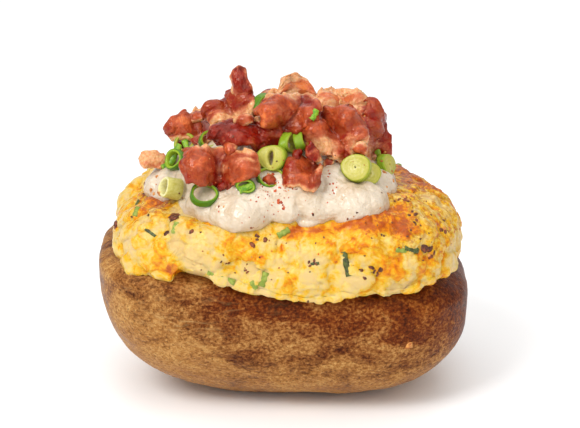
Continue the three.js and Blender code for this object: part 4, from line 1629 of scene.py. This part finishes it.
BACON_PIECES = (
    BaconPiece(
        "bacon_left_slab", (10, 48, 8), length=9.5, width=7, waves=0.5, bend=16, phase=90, curl=10,
        dome=0.6, taper=(0.1, 0.1), streaks=Streaks(fat=1.15, along=0, across=0, tone=0.8), knobs=0.2,
    ),
    BaconPiece(
        "bacon_front_chip", (-24, 50, -6), length=13.5, width=12, waves=0.9, bend=40, phase=120, curl=20,
        dome=1.6, taper=(0.2, 0.2),
        streaks=Streaks(fat=0.2, along=0.1, across=-0.25, tone=0.5, redden=0.15),
        bulges=((0.3, 0.4, 4, 1.4), (0.65, -0.3, 4, 0.9)), skew=0.12,
    ),
    BaconPiece(
        "bacon_front_fold", (2, 54, -2), length=29, width=14, waves=1.5, bend=52, phase=90, curl=20,
        dome=2.2, taper=(0.1, 0.25), streaks=Streaks(fat=0.3, along=0.3, across=0.15, tone=0.5),
        bulges=((0.24, 0.0, 5.5, 1.6), (0.66, 0.1, 5, 1.3), (0.85, -0.3, 3.5, 1)), skew=-0.06,
    ),
    BaconPiece(
        "bacon_right_strand", (66, 52, 6), length=16, width=8, waves=1, bend=46, phase=90, curl=20, dome=1,
        taper=(0.2, 0.4), streaks=Streaks(fat=0.3, along=0.1, across=-0.3, tone=0.2),
    ),
    BaconPiece(
        "bacon_right_fold", (2, 50, 4), length=26, width=19, waves=1.5, bend=50, phase=90, curl=20,
        dome=2.2, taper=(0.15, 0.1), streaks=Streaks(fat=0.36, along=0, across=-0.2, tone=0.5, redden=0.1),
        bulges=((0.68, 0.6, 4.8, 2.6), (0.24, 0.1, 4.2, 2.2), (0.62, -0.45, 4.5, 1.5), (0.45, 0.75, 3, 1.2)),
        skew=0.3,
    ),
    BaconPiece(
        "bacon_middle_leaf", (12, 52, -10), length=26, width=16, waves=0.9, bend=36, phase=140, curl=24,
        dome=1.6, taper=(0.75, 0.3), streaks=Streaks(fat=0.1, along=0, across=0.3, tone=0.2, redden=0.25),
        bulges=((0.55, 0.1, 4.5, 1.4), (0.8, -0.2, 3.5, 1.4), (0.4, -0.5, 2.5, 1)), skew=0.25,
    ),
    BaconPiece(
        "bacon_right_end", (10, 62, 20), length=15, width=21, waves=0.9, bend=46, phase=120, curl=20,
        dome=1.8, taper=(0.1, 0.3), streaks=Streaks(fat=0.25, along=-0.2, across=-0.2, tone=0.38),
        bulges=((0.55, 0.6, 4.2, 2), (0.4, 0.05, 3.5, 2), (0.7, -0.4, 3.5, 1.2)), skew=-0.3,
    ),
    BaconPiece(
        "bacon_left_flake", (14, 58, -14), length=13.5, width=12, waves=0.6, bend=30, phase=120, curl=20,
        dome=1.2, taper=(0.6, 0.1), streaks=Streaks(fat=0.0, along=0.2, across=-0.1, tone=0.5),
        bulges=((0.45, 0.2, 4, 1.2),), skew=0.2,
    ),
    BaconPiece(
        "bacon_behind_left", (150, 52, 16), length=25, width=17, waves=1.3, bend=52, phase=90, curl=15,
        dome=2, taper=(0.15, 0.2), streaks=Streaks(fat=0.35, along=0.1, across=0.2, tone=0.4),
        bulges=((0.3, 0.2, 5, 1.6), (0.7, -0.2, 4.5, 1.8)), skew=0.15,
    ),
    BaconPiece(
        "bacon_behind_right", (212, 56, -12), length=24, width=15, waves=1.2, bend=50, phase=60, curl=20,
        dome=2, taper=(0.15, 0.2), streaks=Streaks(fat=0.3, along=-0.2, across=0.1, tone=0.25),
        bulges=((0.25, -0.2, 4.5, 1.6), (0.6, 0.3, 5, 1.8), (0.85, -0.4, 3, 1)), skew=-0.15,
    ),
    BaconPiece(
        "bacon_behind_end", (164, 48, -18), length=20, width=15, waves=1, bend=44, phase=120, curl=20,
        dome=1.6, taper=(0.3, 0.2), streaks=Streaks(fat=0.6, along=0, across=0.1, tone=0.6),
        bulges=((0.5, 0.2, 5, 1.5),), skew=0.2,
    ),
    BaconPiece(
        "bacon_back_flap", (198, 40, 14), length=26, width=16, waves=1.5, bend=44, phase=80, curl=20,
        dome=1.6, taper=(0.2, 0.3), streaks=Streaks(fat=0.2, along=0, across=0.25, tone=0.2),
        bulges=((0.35, 0.2, 5, 1.5), (0.7, 0, 4, 1.6)), skew=-0.2,
    ),
    BaconPiece(
        "bacon_back_right", (160, 52, -14), length=23, width=17, waves=1.1, bend=48, phase=90, curl=20,
        dome=1.8, taper=(0.15, 0.2), streaks=Streaks(fat=0.45, along=0.2, across=0, tone=0.5),
        bulges=((0.3, -0.1, 5, 1.4), (0.7, 0.2, 5, 1.6)), skew=0.18,
    ),
    BaconPiece(
        "bacon_centre_fold", (14, 48, 4), length=25, width=16.5, waves=1.4, bend=48, phase=60, curl=20,
        dome=1.8, taper=(0.6, 0.15),
        streaks=Streaks(fat=0.25, along=-0.05, across=0.05, tone=0.55, redden=-0.2),
        bulges=((0.6, 0.2, 5.5, 1.8), (0.2, -0.4, 4.5, 1.6), (0.85, -0.2, 3, 1)), skew=-0.28,
    ),
    BaconPiece(
        "bacon_left_ridge", (8, 34, -25), length=21.5, width=18, waves=1.4, bend=48, phase=90, curl=25,
        dome=1.8, taper=(0.7, 0.2), streaks=Streaks(fat=0.3, along=0.05, across=-0.5, tone=0.42),
        bulges=((0.66, 0.3, 6, 2.6), (0.2, 0.3, 4, 1.8)), skew=0.12,
    ),
    BaconPiece(
        "bacon_top_right", (-4, 50, 8), length=20, width=13, waves=1.4, bend=40, phase=90, curl=10, dome=1,
        taper=(0.1, 0.2), streaks=Streaks(fat=0.95, along=0, across=0.1, tone=0.95),
        bulges=((0.7, 0.2, 4, 1.4), (0.3, 0, 4, 1)), skew=0.2,
    ),
    BaconPiece(
        "bacon_top_flap", (12, 66, 10), length=17, width=31, waves=0.7, bend=30, phase=180, curl=20,
        dome=0.8, taper=(0.9, 0.9), streaks=Streaks(fat=0.75, along=0, across=0, tone=1.15),
        bulges=((0.5, 0.4, 5, 0.8),), knobs=0.4,
    ),
    BaconPiece(
        "bacon_upright_curl", (82, -16, -86), length=18, width=9.5, waves=0.9, bend=22, phase=30, curl=30,
        dome=1.4, taper=(0.6, 0.75), streaks=Streaks(fat=0.3, along=0, across=0.15, tone=0.25), knobs=0.3,
    ),
)

ONION_SLICES = (
    OnionSlice("onion_left_wide", (-20, 62, -48), 4.8, 1.3, 5.2, 0.72, 0.0, False, 1),
    OnionSlice("onion_cream_ring", (4, 40, 4), 4.5, 0.9, 2.8, 0.9, 1.0, False, 2, lift=1.1),
    OnionSlice("onion_cream_bit", (-30, 70, 30), 3.2, 1, 2.6, 0.7, 0.85, False, 3, lift=0.5),
    OnionSlice("onion_pale_under", (10, 60, 20), 4.2, 1.5, 2.4, 0.85, 0.35, True, 4),
    OnionSlice("onion_pale_disc", (-6, 60, -6), 4.8, 2.2, 3, 0.92, 0.3, True, 5),
    OnionSlice("onion_right_lower", (20, 66, 40), 4.3, 1.5, 2.6, 0.85, 0.45, True, 6),
    OnionSlice("onion_front_arc", (0, 40, 6), 4.2, 0.9, 2.4, 0.88, 0.8, False, 7),
    OnionSlice("onion_front_slit", (-8, 66, -10), 4.8, 2.1, 3.4, 0.86, 0.35, False, 8, 0.65),
    OnionSlice("onion_right_upper", (24, 72, 42), 4.2, 1.4, 2.6, 0.85, 0.55, False, 9),
    OnionSlice("onion_left_lower", (-20, 60, -30), 4.4, 1.3, 3.4, 0.8, 0.9, False, 10),
    OnionSlice("onion_middle_left", (40, 80, 30), 3.9, 1.1, 3, 0.8, 0.45, False, 11),
    OnionSlice("onion_middle_right", (80, 74, 10), 3.9, 1.1, 3, 0.8, 0.5, False, 12),
    OnionSlice("onion_left_upper", (30, 50, -30), 3.8, 1.2, 3, 0.8, 0.55, False, 13),
    OnionSlice("onion_tucked_left", (20, 56, 0), 3.2, 0.9, 2.6, 0.9, 0.75, False, 14),
    OnionSlice("onion_behind_low", (170, 48, -10), 4.6, 1.6, 3, 0.9, 0.3, True, 15),
    OnionSlice("onion_behind_right", (150, 56, 20), 4.3, 1.2, 3, 0.8, 0.7, False, 16),
    OnionSlice("onion_behind_left", (190, 50, 10), 4.4, 1, 2.8, 0.85, 0.85, False, 17),
    OnionSlice("onion_behind_middle", (160, 60, -10), 4.1, 1.1, 3, 0.85, 0.6, False, 18),
    OnionSlice("onion_tucked_right", (30, 60, 0), 3, 0.9, 2.6, 0.85, 0.8, False, 19),
    OnionSlice("onion_top", (50, 86, 0), 5.3, 1.1, 3, 0.64, 0.7, False, 20, lift=3.0),
)


# ---- Small things strewn over it ----


AWAY = 150.0
OVERHEAD = 200.0


class Side(Enum):
    """The side that small things are placed from: level but for a lean down, or straight above."""

    FRONT = -1
    BACK = 1
    ABOVE = 0

    def ray(self, along: float, up: float) -> tuple[Vector, Vector]:
        """Returns a line towards the potato, through a place as seen from this side.

        Args:
            along: The place's distance along the potato.
            up: Its height as seen, or its depth when seen from above.

        Returns:
            The line's start, in metres, and its way.
        """
        if self is Side.ABOVE:
            return Vector((along, up, OVERHEAD)) * MM, Vector((0, 0, -1))
        level, drop = math.cos(VIEW_LEAN), math.sin(VIEW_LEAN)
        start = Vector((along, self.value * (AWAY * level - up * drop), up * level + AWAY * drop)) * MM
        return start, Vector((0, -self.value * level, -drop))


def first_hit(trees: Sequence[BVHTree], start: Vector, way: Vector) -> tuple | None:
    """Finds where a line first meets any of some surfaces.

    Args:
        trees: The surfaces.
        start: Where the line starts, in metres.
        way: Where it goes.

    Returns:
        The place, the way out there, the face's number and the distance, or None.
    """
    hits = [hit for hit in (tree.ray_cast(start, way) for tree in trees) if hit[0] is not None]
    return min(hits, key=lambda hit: hit[3]) if hits else None


def on_surface(tree: BVHTree, place: Vector) -> bool:
    """Returns whether a place lies on a surface, to half a millimetre."""
    return tree.find_nearest(place)[3] < 0.5 * MM


@dataclass(frozen=True)
class Cluster:
    """A loose group of small things round a place seen from one side, and the size of the things."""

    along: float
    up: float
    spread: float
    count: int
    size: tuple[float, float] = (0.6, 1.1)
    side: Side = Side.FRONT


@dataclass(frozen=True)
class Strewn:
    """Small things of one kind, strewn in clusters over whatever shows there, and partly sunk in it.

    length and flat are how long and how flat the things are, sink is how deep they lie, and rough and bend
    are how uneven they are. Only a cluster of one falls on the skin.
    """

    name: str
    finish: Finish
    clusters: tuple[Cluster, ...]
    length: float = 1.3
    flat: float = 0.7
    sink: float = 0.1
    seed: int = 0
    rough: float = 0.25
    bend: float = 0.12

    def bit(self, draw: np.random.Generator, size: float) -> Form:
        """Makes one lumpy little body round the origin, long in X, flat in Z and a little bent.

        Args:
            draw: Where its random values come from.
            size: How large it is, in millimetres.

        Returns:
            The body.
        """
        way = directions(8, np.linspace(-1.2, 1.2, 5))
        rough = 1 + draw.uniform(-self.rough, self.rough, way.shape[:2])
        points, faces = wrapped(way * rough[..., None] * size / 2 * (self.length, 1, self.flat))
        points[:, 1] += draw.uniform(-self.bend, self.bend) * points[:, 0] ** 2 / size
        return Form(points, faces)

    def form(self, trees: Sequence[BVHTree]) -> Form:
        """Places all the bits, each where a line from its side first meets a surface.

        Args:
            trees: The surfaces, the skin's first.

        Returns:
            The bits as one form.
        """
        draw = np.random.default_rng(40 + self.seed)
        found = []
        for cluster in self.clusters:
            for _ in range(cluster.count):
                along, up = draw.normal((cluster.along, cluster.up), cluster.spread)
                start, way = cluster.side.ray(along, up)
                size, spin = draw.uniform(*cluster.size), draw.uniform(0, 2 * np.pi)
                bit = self.bit(draw, size)
                hit = first_hit(trees, start, way)
                if hit is None or (cluster.count > 1 and on_surface(trees[0], hit[0])):
                    continue
                lie = np.array(hit[1].to_track_quat("Z", "Y").to_matrix()) @ turned(math.degrees(spin), 0, 0)
                place = np.array(hit[0]) / MM - np.array(hit[1]) * size * self.sink
                bit.points = bit.points @ lie.T + place
                found.append(bit)
        return join_all(found)

    def build(self, trees: Sequence[BVHTree]) -> None:
        """Makes the one object that holds all the bits."""
        make_piece(self.name, self.form(trees), self.finish)


@dataclass(frozen=True)
class Snippet:
    """A cut length of chive: its place as seen, its length, and how far it leans from upright, in degrees.

    stiff is how far it bends in or out to lie on what is under it.
    """

    along: float
    up: float
    length: float
    lean: float
    side: Side = Side.FRONT
    wide: float = 1.5
    stiff: float = 1.2
    sunk: float = 0.2

    def spine(self, trees: Sequence[BVHTree]) -> np.ndarray:
        """Finds the snippet's middle line, laid on what is under it and then eased straight.

        Args:
            trees: The surfaces.

        Returns:
            Points along the line.
        """
        lean = math.radians(self.lean)
        starts, depths = [], []
        for out in np.linspace(-0.5, 0.5, 9) * self.length:
            start, way = self.side.ray(self.along + out * math.sin(lean), self.up + out * math.cos(lean))
            hit = first_hit(trees, start, way)
            if hit:
                starts.append(np.array(start) / MM)
                depths.append(hit[3] / MM)
        level = np.median(depths)
        depth = np.clip(depths, level - self.stiff, level + self.stiff)
        laid = np.array(starts) + depth[:, None] * np.array(way)
        return laid + (np.linspace(laid[0], laid[-1], len(laid)) - laid) * 0.6

    def form(self, trees: Sequence[BVHTree]) -> Form:
        """Makes the snippet, a flattened rod along its spine.

        Args:
            trees: The surfaces that it lies on.

        Returns:
            The rod.
        """
        spine = self.spine(trees)
        ahead = spine[-1] - spine[0]
        ahead /= np.linalg.norm(ahead)
        towards = np.array(self.side.ray(0, 0)[1])
        across = np.cross(towards, ahead)
        across /= np.linalg.norm(across)
        front = np.cross(across, ahead)
        turns = np.linspace(0, 2 * np.pi, 10, endpoint=False)
        girth = self.wide / 2 * (1 + 0.12 * np.sin(np.arange(len(spine)) * 1.9 + self.along))
        ring = np.cos(turns)[:, None] * across + np.sin(turns)[:, None] * front * 0.6
        return Form(*wrapped(spine[:, None] + ring[None] * girth[:, None, None] - front * self.sunk))


@dataclass(frozen=True)
class BaconBit:
    """A small torn bit of bacon: its place as seen from one side, its size, how it lies and its streaks."""

    along: float
    up: float
    length: float
    width: float
    spin: float = 0.0
    fat: float = 0.3
    tone: float = 0.4
    side: Side = Side.FRONT
    sink: float = 0.2

    def form(self, trees: Sequence[BVHTree]) -> Form:
        """Makes the bit, on whatever a line from its side first meets.

        Args:
            trees: The surfaces.

        Returns:
            The bit, in place.
        """
        start, way = self.side.ray(self.along, self.up)
        place, normal, _, _ = first_hit(trees, start, way)
        name = f"bit {self.along} {self.up}"
        bead = (0.45, 0.1, min(self.length, self.width) * 0.35, 0.6)
        plain = BaconPiece(
            name, (0, 0, 0), self.length, self.width, waves=0.8, bend=32, phase=self.spin, curl=25, dome=0.7,
            taper=(0.3, 0.3), streaks=Streaks(self.fat, 0.1, 0.1, self.tone), bulges=(bead,), skew=0.15,
            thick=1.4, knobs=0.4, cell=0.4,
        )
        made = plain.shaped()
        facing = normal - way * 1.2
        lie = np.array(facing.to_track_quat("Z", "Y").to_matrix()) @ turned(self.spin, 0, 0)
        made.points = made.points @ lie.T + np.array(place) / MM + np.array(normal) * (0.8 - self.sink)
        return made


def tree_of(piece: bpy.types.Object) -> BVHTree:
    """Returns a piece's surface, ready for lines to be cast at it."""
    return BVHTree.FromObject(piece, bpy.context.evaluated_depsgraph_get())


PAPRIKA_FLAKES = Strewn("paprika_flakes", PAPRIKA, (
    Cluster(-0.8, 57.2, 0.6, 7, (0.5, 1.1)),
    Cluster(-5.5, 60, 2.4, 26, (0.2, 0.5)),
    Cluster(-3, 62.5, 1.6, 9, (0.5, 1.1)),
    Cluster(-1, 63, 2.4, 30, (0.2, 0.5)),
    Cluster(12.5, 68.5, 2.2, 14, (0.25, 0.7)),
    Cluster(-21, 63, 3.5, 8, (0.25, 0.6)),
    Cluster(14, 61.5, 2.5, 7, (0.25, 0.6)),
    Cluster(-6, 53, 5, 8, (0.25, 0.5)),
    Cluster(0, 66, 18, 44, (0.25, 0.5)),
    Cluster(6, 58, 3, 40, (0.25, 0.7), Side.BACK),
    Cluster(-14, 64, 4, 26, (0.25, 0.7), Side.BACK),
    Cluster(0, 64, 18, 50, (0.25, 0.6), Side.BACK),
), 1.3, 0.5, 0.0, seed=1)

CHARRED_BITS = Strewn("charred_bits", CHAR, (
    Cluster(-33.8, 53.0, 0.6, 6, (2.2, 3.2)),
    Cluster(-35.5, 47.3, 0.7, 3, (1.5, 2.3)),
    Cluster(-28.2, 48.4, 0.5, 2, (0.9, 1.4)),
    Cluster(-19, 40, 1.4, 4, (0.6, 1.0)),
    Cluster(-11.5, 36.5, 2.2, 4, (0.6, 0.9)),
    Cluster(-7.5, 45.8, 0.9, 4, (0.9, 1.6)),
    Cluster(38.6, 58.2, 0.7, 3, (1.0, 1.6)),
    Cluster(40, 52.6, 1.3, 5, (0.8, 1.5)),
    Cluster(50, 48.5, 1.3, 4, (0.9, 1.5)),
    Cluster(44.2, 42.7, 1.0, 6, (1.2, 2.2)),
    Cluster(27.0, 36.5, 1.7, 7, (0.8, 1.7)),
    Cluster(8.8, 38, 1.3, 5, (0.7, 1.2)),
    Cluster(-44.5, 60, 1.2, 6, (0.8, 1.5)),
    Cluster(-54, 50.3, 0.4, 1, (2.0, 2.4)),
    Cluster(-53.3, 49.2, 0.3, 1, (1.5, 2.0)),
    Cluster(-46, 56, 2.2, 3, (0.6, 1.2)),
    Cluster(0, 46, 22, 45, (0.4, 0.8)),
    Cluster(38, 50, 7, 26, (0.4, 0.9)),
    Cluster(30, 52, 2, 6, (1.0, 2.2), Side.BACK),
    Cluster(-12, 44, 3, 8, (0.9, 1.8), Side.BACK),
    Cluster(-40, 50, 3, 9, (0.8, 1.6), Side.BACK),
    Cluster(0, 47, 25, 70, (0.4, 0.9), Side.BACK),
), 1.4, 0.6, 0.1, seed=2)

BACON_BITS = (
    BaconBit(-33.1, 75.4, 3.6, 3.2, 40, 0.0, 0.1),
    BaconBit(-12.5, 82.0, 7.0, 4.0, 10, 0.9, 0.5),
    BaconBit(-16.5, 74.5, 7.0, 4.5, -10, 0.35, 0.4),
    BaconBit(-24.5, 76.2, 6.0, 4.5, 30, 0.55, 0.6),
    BaconBit(-4.4, 63.8, 5.0, 3.4, 5, 0.1, 0.5),
    BaconBit(-18.8, 61.4, 3.0, 2.2, 20, 0.1, 0.2),
    BaconBit(14.0, 69.5, 5.5, 4.0, 60, 0.45, 0.3),
    BaconBit(4.5, 71.5, 5.0, 4.0, 110, 0.2, 0.2),
    BaconBit(24.0, 74.0, 6.0, 4.5, 20, 0.6, 0.6),
    BaconBit(-26, 2, 8.0, 6.0, 20, 0.3, 0.5, Side.ABOVE),
    BaconBit(-16, -4, 7.0, 5.0, 80, 0.5, 0.4, Side.ABOVE),
    BaconBit(-9, -2, 8.0, 6.0, 140, 0.2, 0.2, Side.ABOVE),
    BaconBit(0, 2, 8.0, 6.5, 30, 0.5, 0.6, Side.ABOVE),
    BaconBit(9, 3, 8.5, 6.0, 100, 0.2, 0.3, Side.ABOVE),
    BaconBit(20, 0, 8.0, 5.5, 10, 0.4, 0.2, Side.ABOVE),
    BaconBit(-6, 11, 8.0, 6.0, 60, 0.3, 0.5, Side.ABOVE),
    BaconBit(-16, 15, 7.0, 5.5, 120, 0.6, 0.6, Side.ABOVE),
    BaconBit(4, 16, 7.0, 6.0, 0, 0.2, 0.2, Side.ABOVE),
    BaconBit(22, 16, 7.0, 5.0, 70, 0.5, 0.5, Side.ABOVE),
    BaconBit(-30, -6, 5.5, 4.5, 30, 0.3, 0.4, Side.ABOVE),
    BaconBit(-28, 13, 7.0, 5.0, 150, 0.4, 0.7, Side.ABOVE),
    BaconBit(-30, 62, 5.0, 4.0, 10, 0.2, 0.3, Side.BACK),
    BaconBit(-12, 67, 6.0, 5.0, 70, 0.5, 0.5, Side.BACK),
    BaconBit(-5, 76, 7.0, 5.0, 20, 0.3, 0.3, Side.BACK),
    BaconBit(9, 63, 5.0, 4.0, 120, 0.6, 0.6, Side.BACK),
    BaconBit(14, 70, 7.0, 5.0, 40, 0.2, 0.3, Side.BACK),
    BaconBit(30, 67, 6.0, 5.0, 90, 0.4, 0.5, Side.BACK),
    BaconBit(-2, 87, 7.0, 5.5, 0, 0.4, 0.5, Side.BACK),
    BaconBit(27, 77, 6.0, 4.5, 50, 0.2, 0.2, Side.BACK),
)

TOASTED_CRUMBS = Strewn("toasted_crumbs", TOAST, (
    Cluster(47, 56, 5, 14, (0.6, 1.6)),
    Cluster(38, 64, 4, 18, (0.6, 1.6)),
    Cluster(-42, 62, 4, 10, (0.6, 1.4)),
    Cluster(51, 46, 4, 12, (0.5, 1.4)),
    Cluster(10, 44, 22, 24, (0.4, 0.9)),
    Cluster(-38, 62, 5, 18, (0.6, 1.6), Side.BACK),
    Cluster(0, 46, 25, 40, (0.4, 1.2), Side.BACK),
    Cluster(39.2, 12.6, 0.1, 1, (2.9, 3.0)),
), 1.2, 0.8, 0.2, seed=3)

GREEN_SNIPPETS = (
    Snippet(-6, 33.6, 4.6, 20, wide=2.2),
    Snippet(-9, 31.8, 3.0, -30, wide=1.8),
    Snippet(0, 47.8, 4.0, 60, wide=2.0),
    Snippet(-33, 49.3, 3.6, 15, wide=2.0),
    Snippet(-46, 54.3, 3.0, 20, wide=1.8),
    Snippet(-19, 34.2, 9.0, 112, wide=1.8),
    Snippet(36, 42.5, 3.2, 95, wide=1.6),
    Snippet(-20, 47, 5, 40, Side.BACK, 1.8),
    Snippet(14, 40, 5, 120, Side.BACK, 2.0),
    Snippet(38, 50, 4, 10, Side.BACK, 2.0),
)

FRESH_SNIPPETS = (
    Snippet(-34.5, 72.5, 7.0, 25, wide=2.2),
    Snippet(-31.0, 74.5, 6.0, -20, wide=2.0),
    Snippet(-36.5, 69.5, 5.0, 60, wide=2.0),
    Snippet(-26.5, 76.5, 4.0, 80, wide=1.6),
    Snippet(9.4, 84.4, 3.5, 30, wide=2.2),
    Snippet(-11.5, 61.6, 4.5, 70, wide=2.4),
    Snippet(-20, 70, 5, 30, Side.BACK, 2.0),
    Snippet(12, 72, 5, -40, Side.BACK, 2.0),
    Snippet(2, 60, 4, 70, Side.BACK, 1.8),
)

BROWNED_SNIPPETS = (
    Snippet(19.2, 38.3, 7.6, -14, wide=2.0),
    Snippet(39.3, 42.6, 4.4, 100, wide=1.9),
    Snippet(-41, 47.8, 4.0, -55, wide=1.0),
    Snippet(9.6, 38.4, 2.6, 80, wide=1.3),
    Snippet(-46.6, 57.2, 2.0, 25, wide=1.1),
    Snippet(2, 45, 7, 25, Side.BACK, 1.8),
    Snippet(-34, 41, 6, -60, Side.BACK, 1.8),
    Snippet(28, 44, 5, 80, Side.BACK, 1.6),
)


CHIVES = (
    ("green_snippets", GREEN_SNIPPETS, CHIVE),
    ("fresh_snippets", FRESH_SNIPPETS, FRESH_CHIVE),
    ("browned_snippets", BROWNED_SNIPPETS, DARK_CHIVE),
)


# ---- Studio ----


@dataclass(frozen=True)
class SoftLight:
    """A square soft light: its place and its size in metres, and its power in watts."""

    name: str
    place: Triple
    size: float
    power: float

    def build(self, aim: Vector) -> None:
        """Makes the light, facing a place.

        Args:
            aim: The place.
        """
        data = bpy.data.lights.new(self.name, "AREA")
        data.size = self.size
        data.energy = self.power
        lamp = bpy.data.objects.new(self.name, data)
        lamp.location = self.place
        lamp.rotation_euler = (aim - Vector(self.place)).to_track_quat("-Z", "Y").to_euler()
        bpy.context.scene.collection.objects.link(lamp)


@dataclass(frozen=True)
class Studio:
    """The white table, the soft lights and the camera, with their places in metres."""

    aim: Triple = (0.002, 0.0, 0.057)
    distance: float = 0.65
    elevation: float = 20.0
    lens: float = 125.0
    table_half: float = 3.0
    sky: float = 0.5
    lights: tuple[SoftLight, ...] = (
        SoftLight("window", (-0.6, -0.6, 0.9), 0.5, 8.0),
        SoftLight("ceiling", (0.0, -0.1, 1.3), 1.2, 6.5),
        SoftLight("fill", (0.35, -1.0, 0.85), 0.9, 4.6),
        SoftLight("behind", (0.1, 0.9, 0.8), 0.7, 1.5),
    )

    def build(self) -> None:
        """Makes the table, the lights, the white sky and the camera."""
        self.table()
        for light in self.lights:
            light.build(Vector(self.aim))
        world = bpy.data.worlds.new("studio")
        world.use_nodes = True
        background = world.node_tree.nodes["Background"]
        background.inputs["Color"].default_value = linear("#ffffff")
        background.inputs["Strength"].default_value = self.sky
        bpy.context.scene.world = world
        bpy.context.scene.view_settings.view_transform = "Standard"
        self.camera()

    def table(self) -> None:
        """Makes the white table top."""
        half = self.table_half
        corners = [(-half, -half, 0), (half, -half, 0), (half, half, 0), (-half, half, 0)]
        mesh = bpy.data.meshes.new("table")
        mesh.from_pydata(corners, [], [(0, 1, 2, 3)])
        mesh.materials.append(BOARD.material())
        table = bpy.data.objects.new("table", mesh)
        bpy.context.scene.collection.objects.link(table)

    def camera(self) -> None:
        """Makes the camera, which looks along the potato's depth and a little down."""
        data = bpy.data.cameras.new("camera")
        data.lens = self.lens
        data.clip_start = 0.01
        eye = bpy.data.objects.new("camera", data)
        lean = math.radians(self.elevation)
        away = Vector((0, -math.cos(lean), math.sin(lean)))
        eye.location = Vector(self.aim) + away * self.distance
        eye.rotation_euler = (-away).to_track_quat("-Z", "Y").to_euler()
        bpy.context.scene.collection.objects.link(eye)
        bpy.context.scene.camera = eye


# ---- The whole ----


def main() -> None:
    """Builds the potato on its frame, then the studio."""
    logging.basicConfig(level=logging.INFO, format="%(message)s")
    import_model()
    skin, cream = PotatoSkin(), Dollop()
    pieces = [skin.build(), Filling().build(skin.inside(), cream), cream.build()]
    pieces += [piece.build() for piece in (*BACON_PIECES, *ONION_SLICES)]
    trees = [tree_of(piece) for piece in pieces]
    bits = make_piece("bacon_bits", join_all([bit.form(trees) for bit in BACON_BITS]), BACON)
    trees.append(tree_of(bits))
    for strewn in (PAPRIKA_FLAKES, CHARRED_BITS, TOASTED_CRUMBS):
        strewn.build(trees)
    for name, snippets, finish in CHIVES:
        make_piece(name, join_all([snippet.form(trees) for snippet in snippets]), finish)
    Studio().build()


if __name__ == "__main__":
    main()
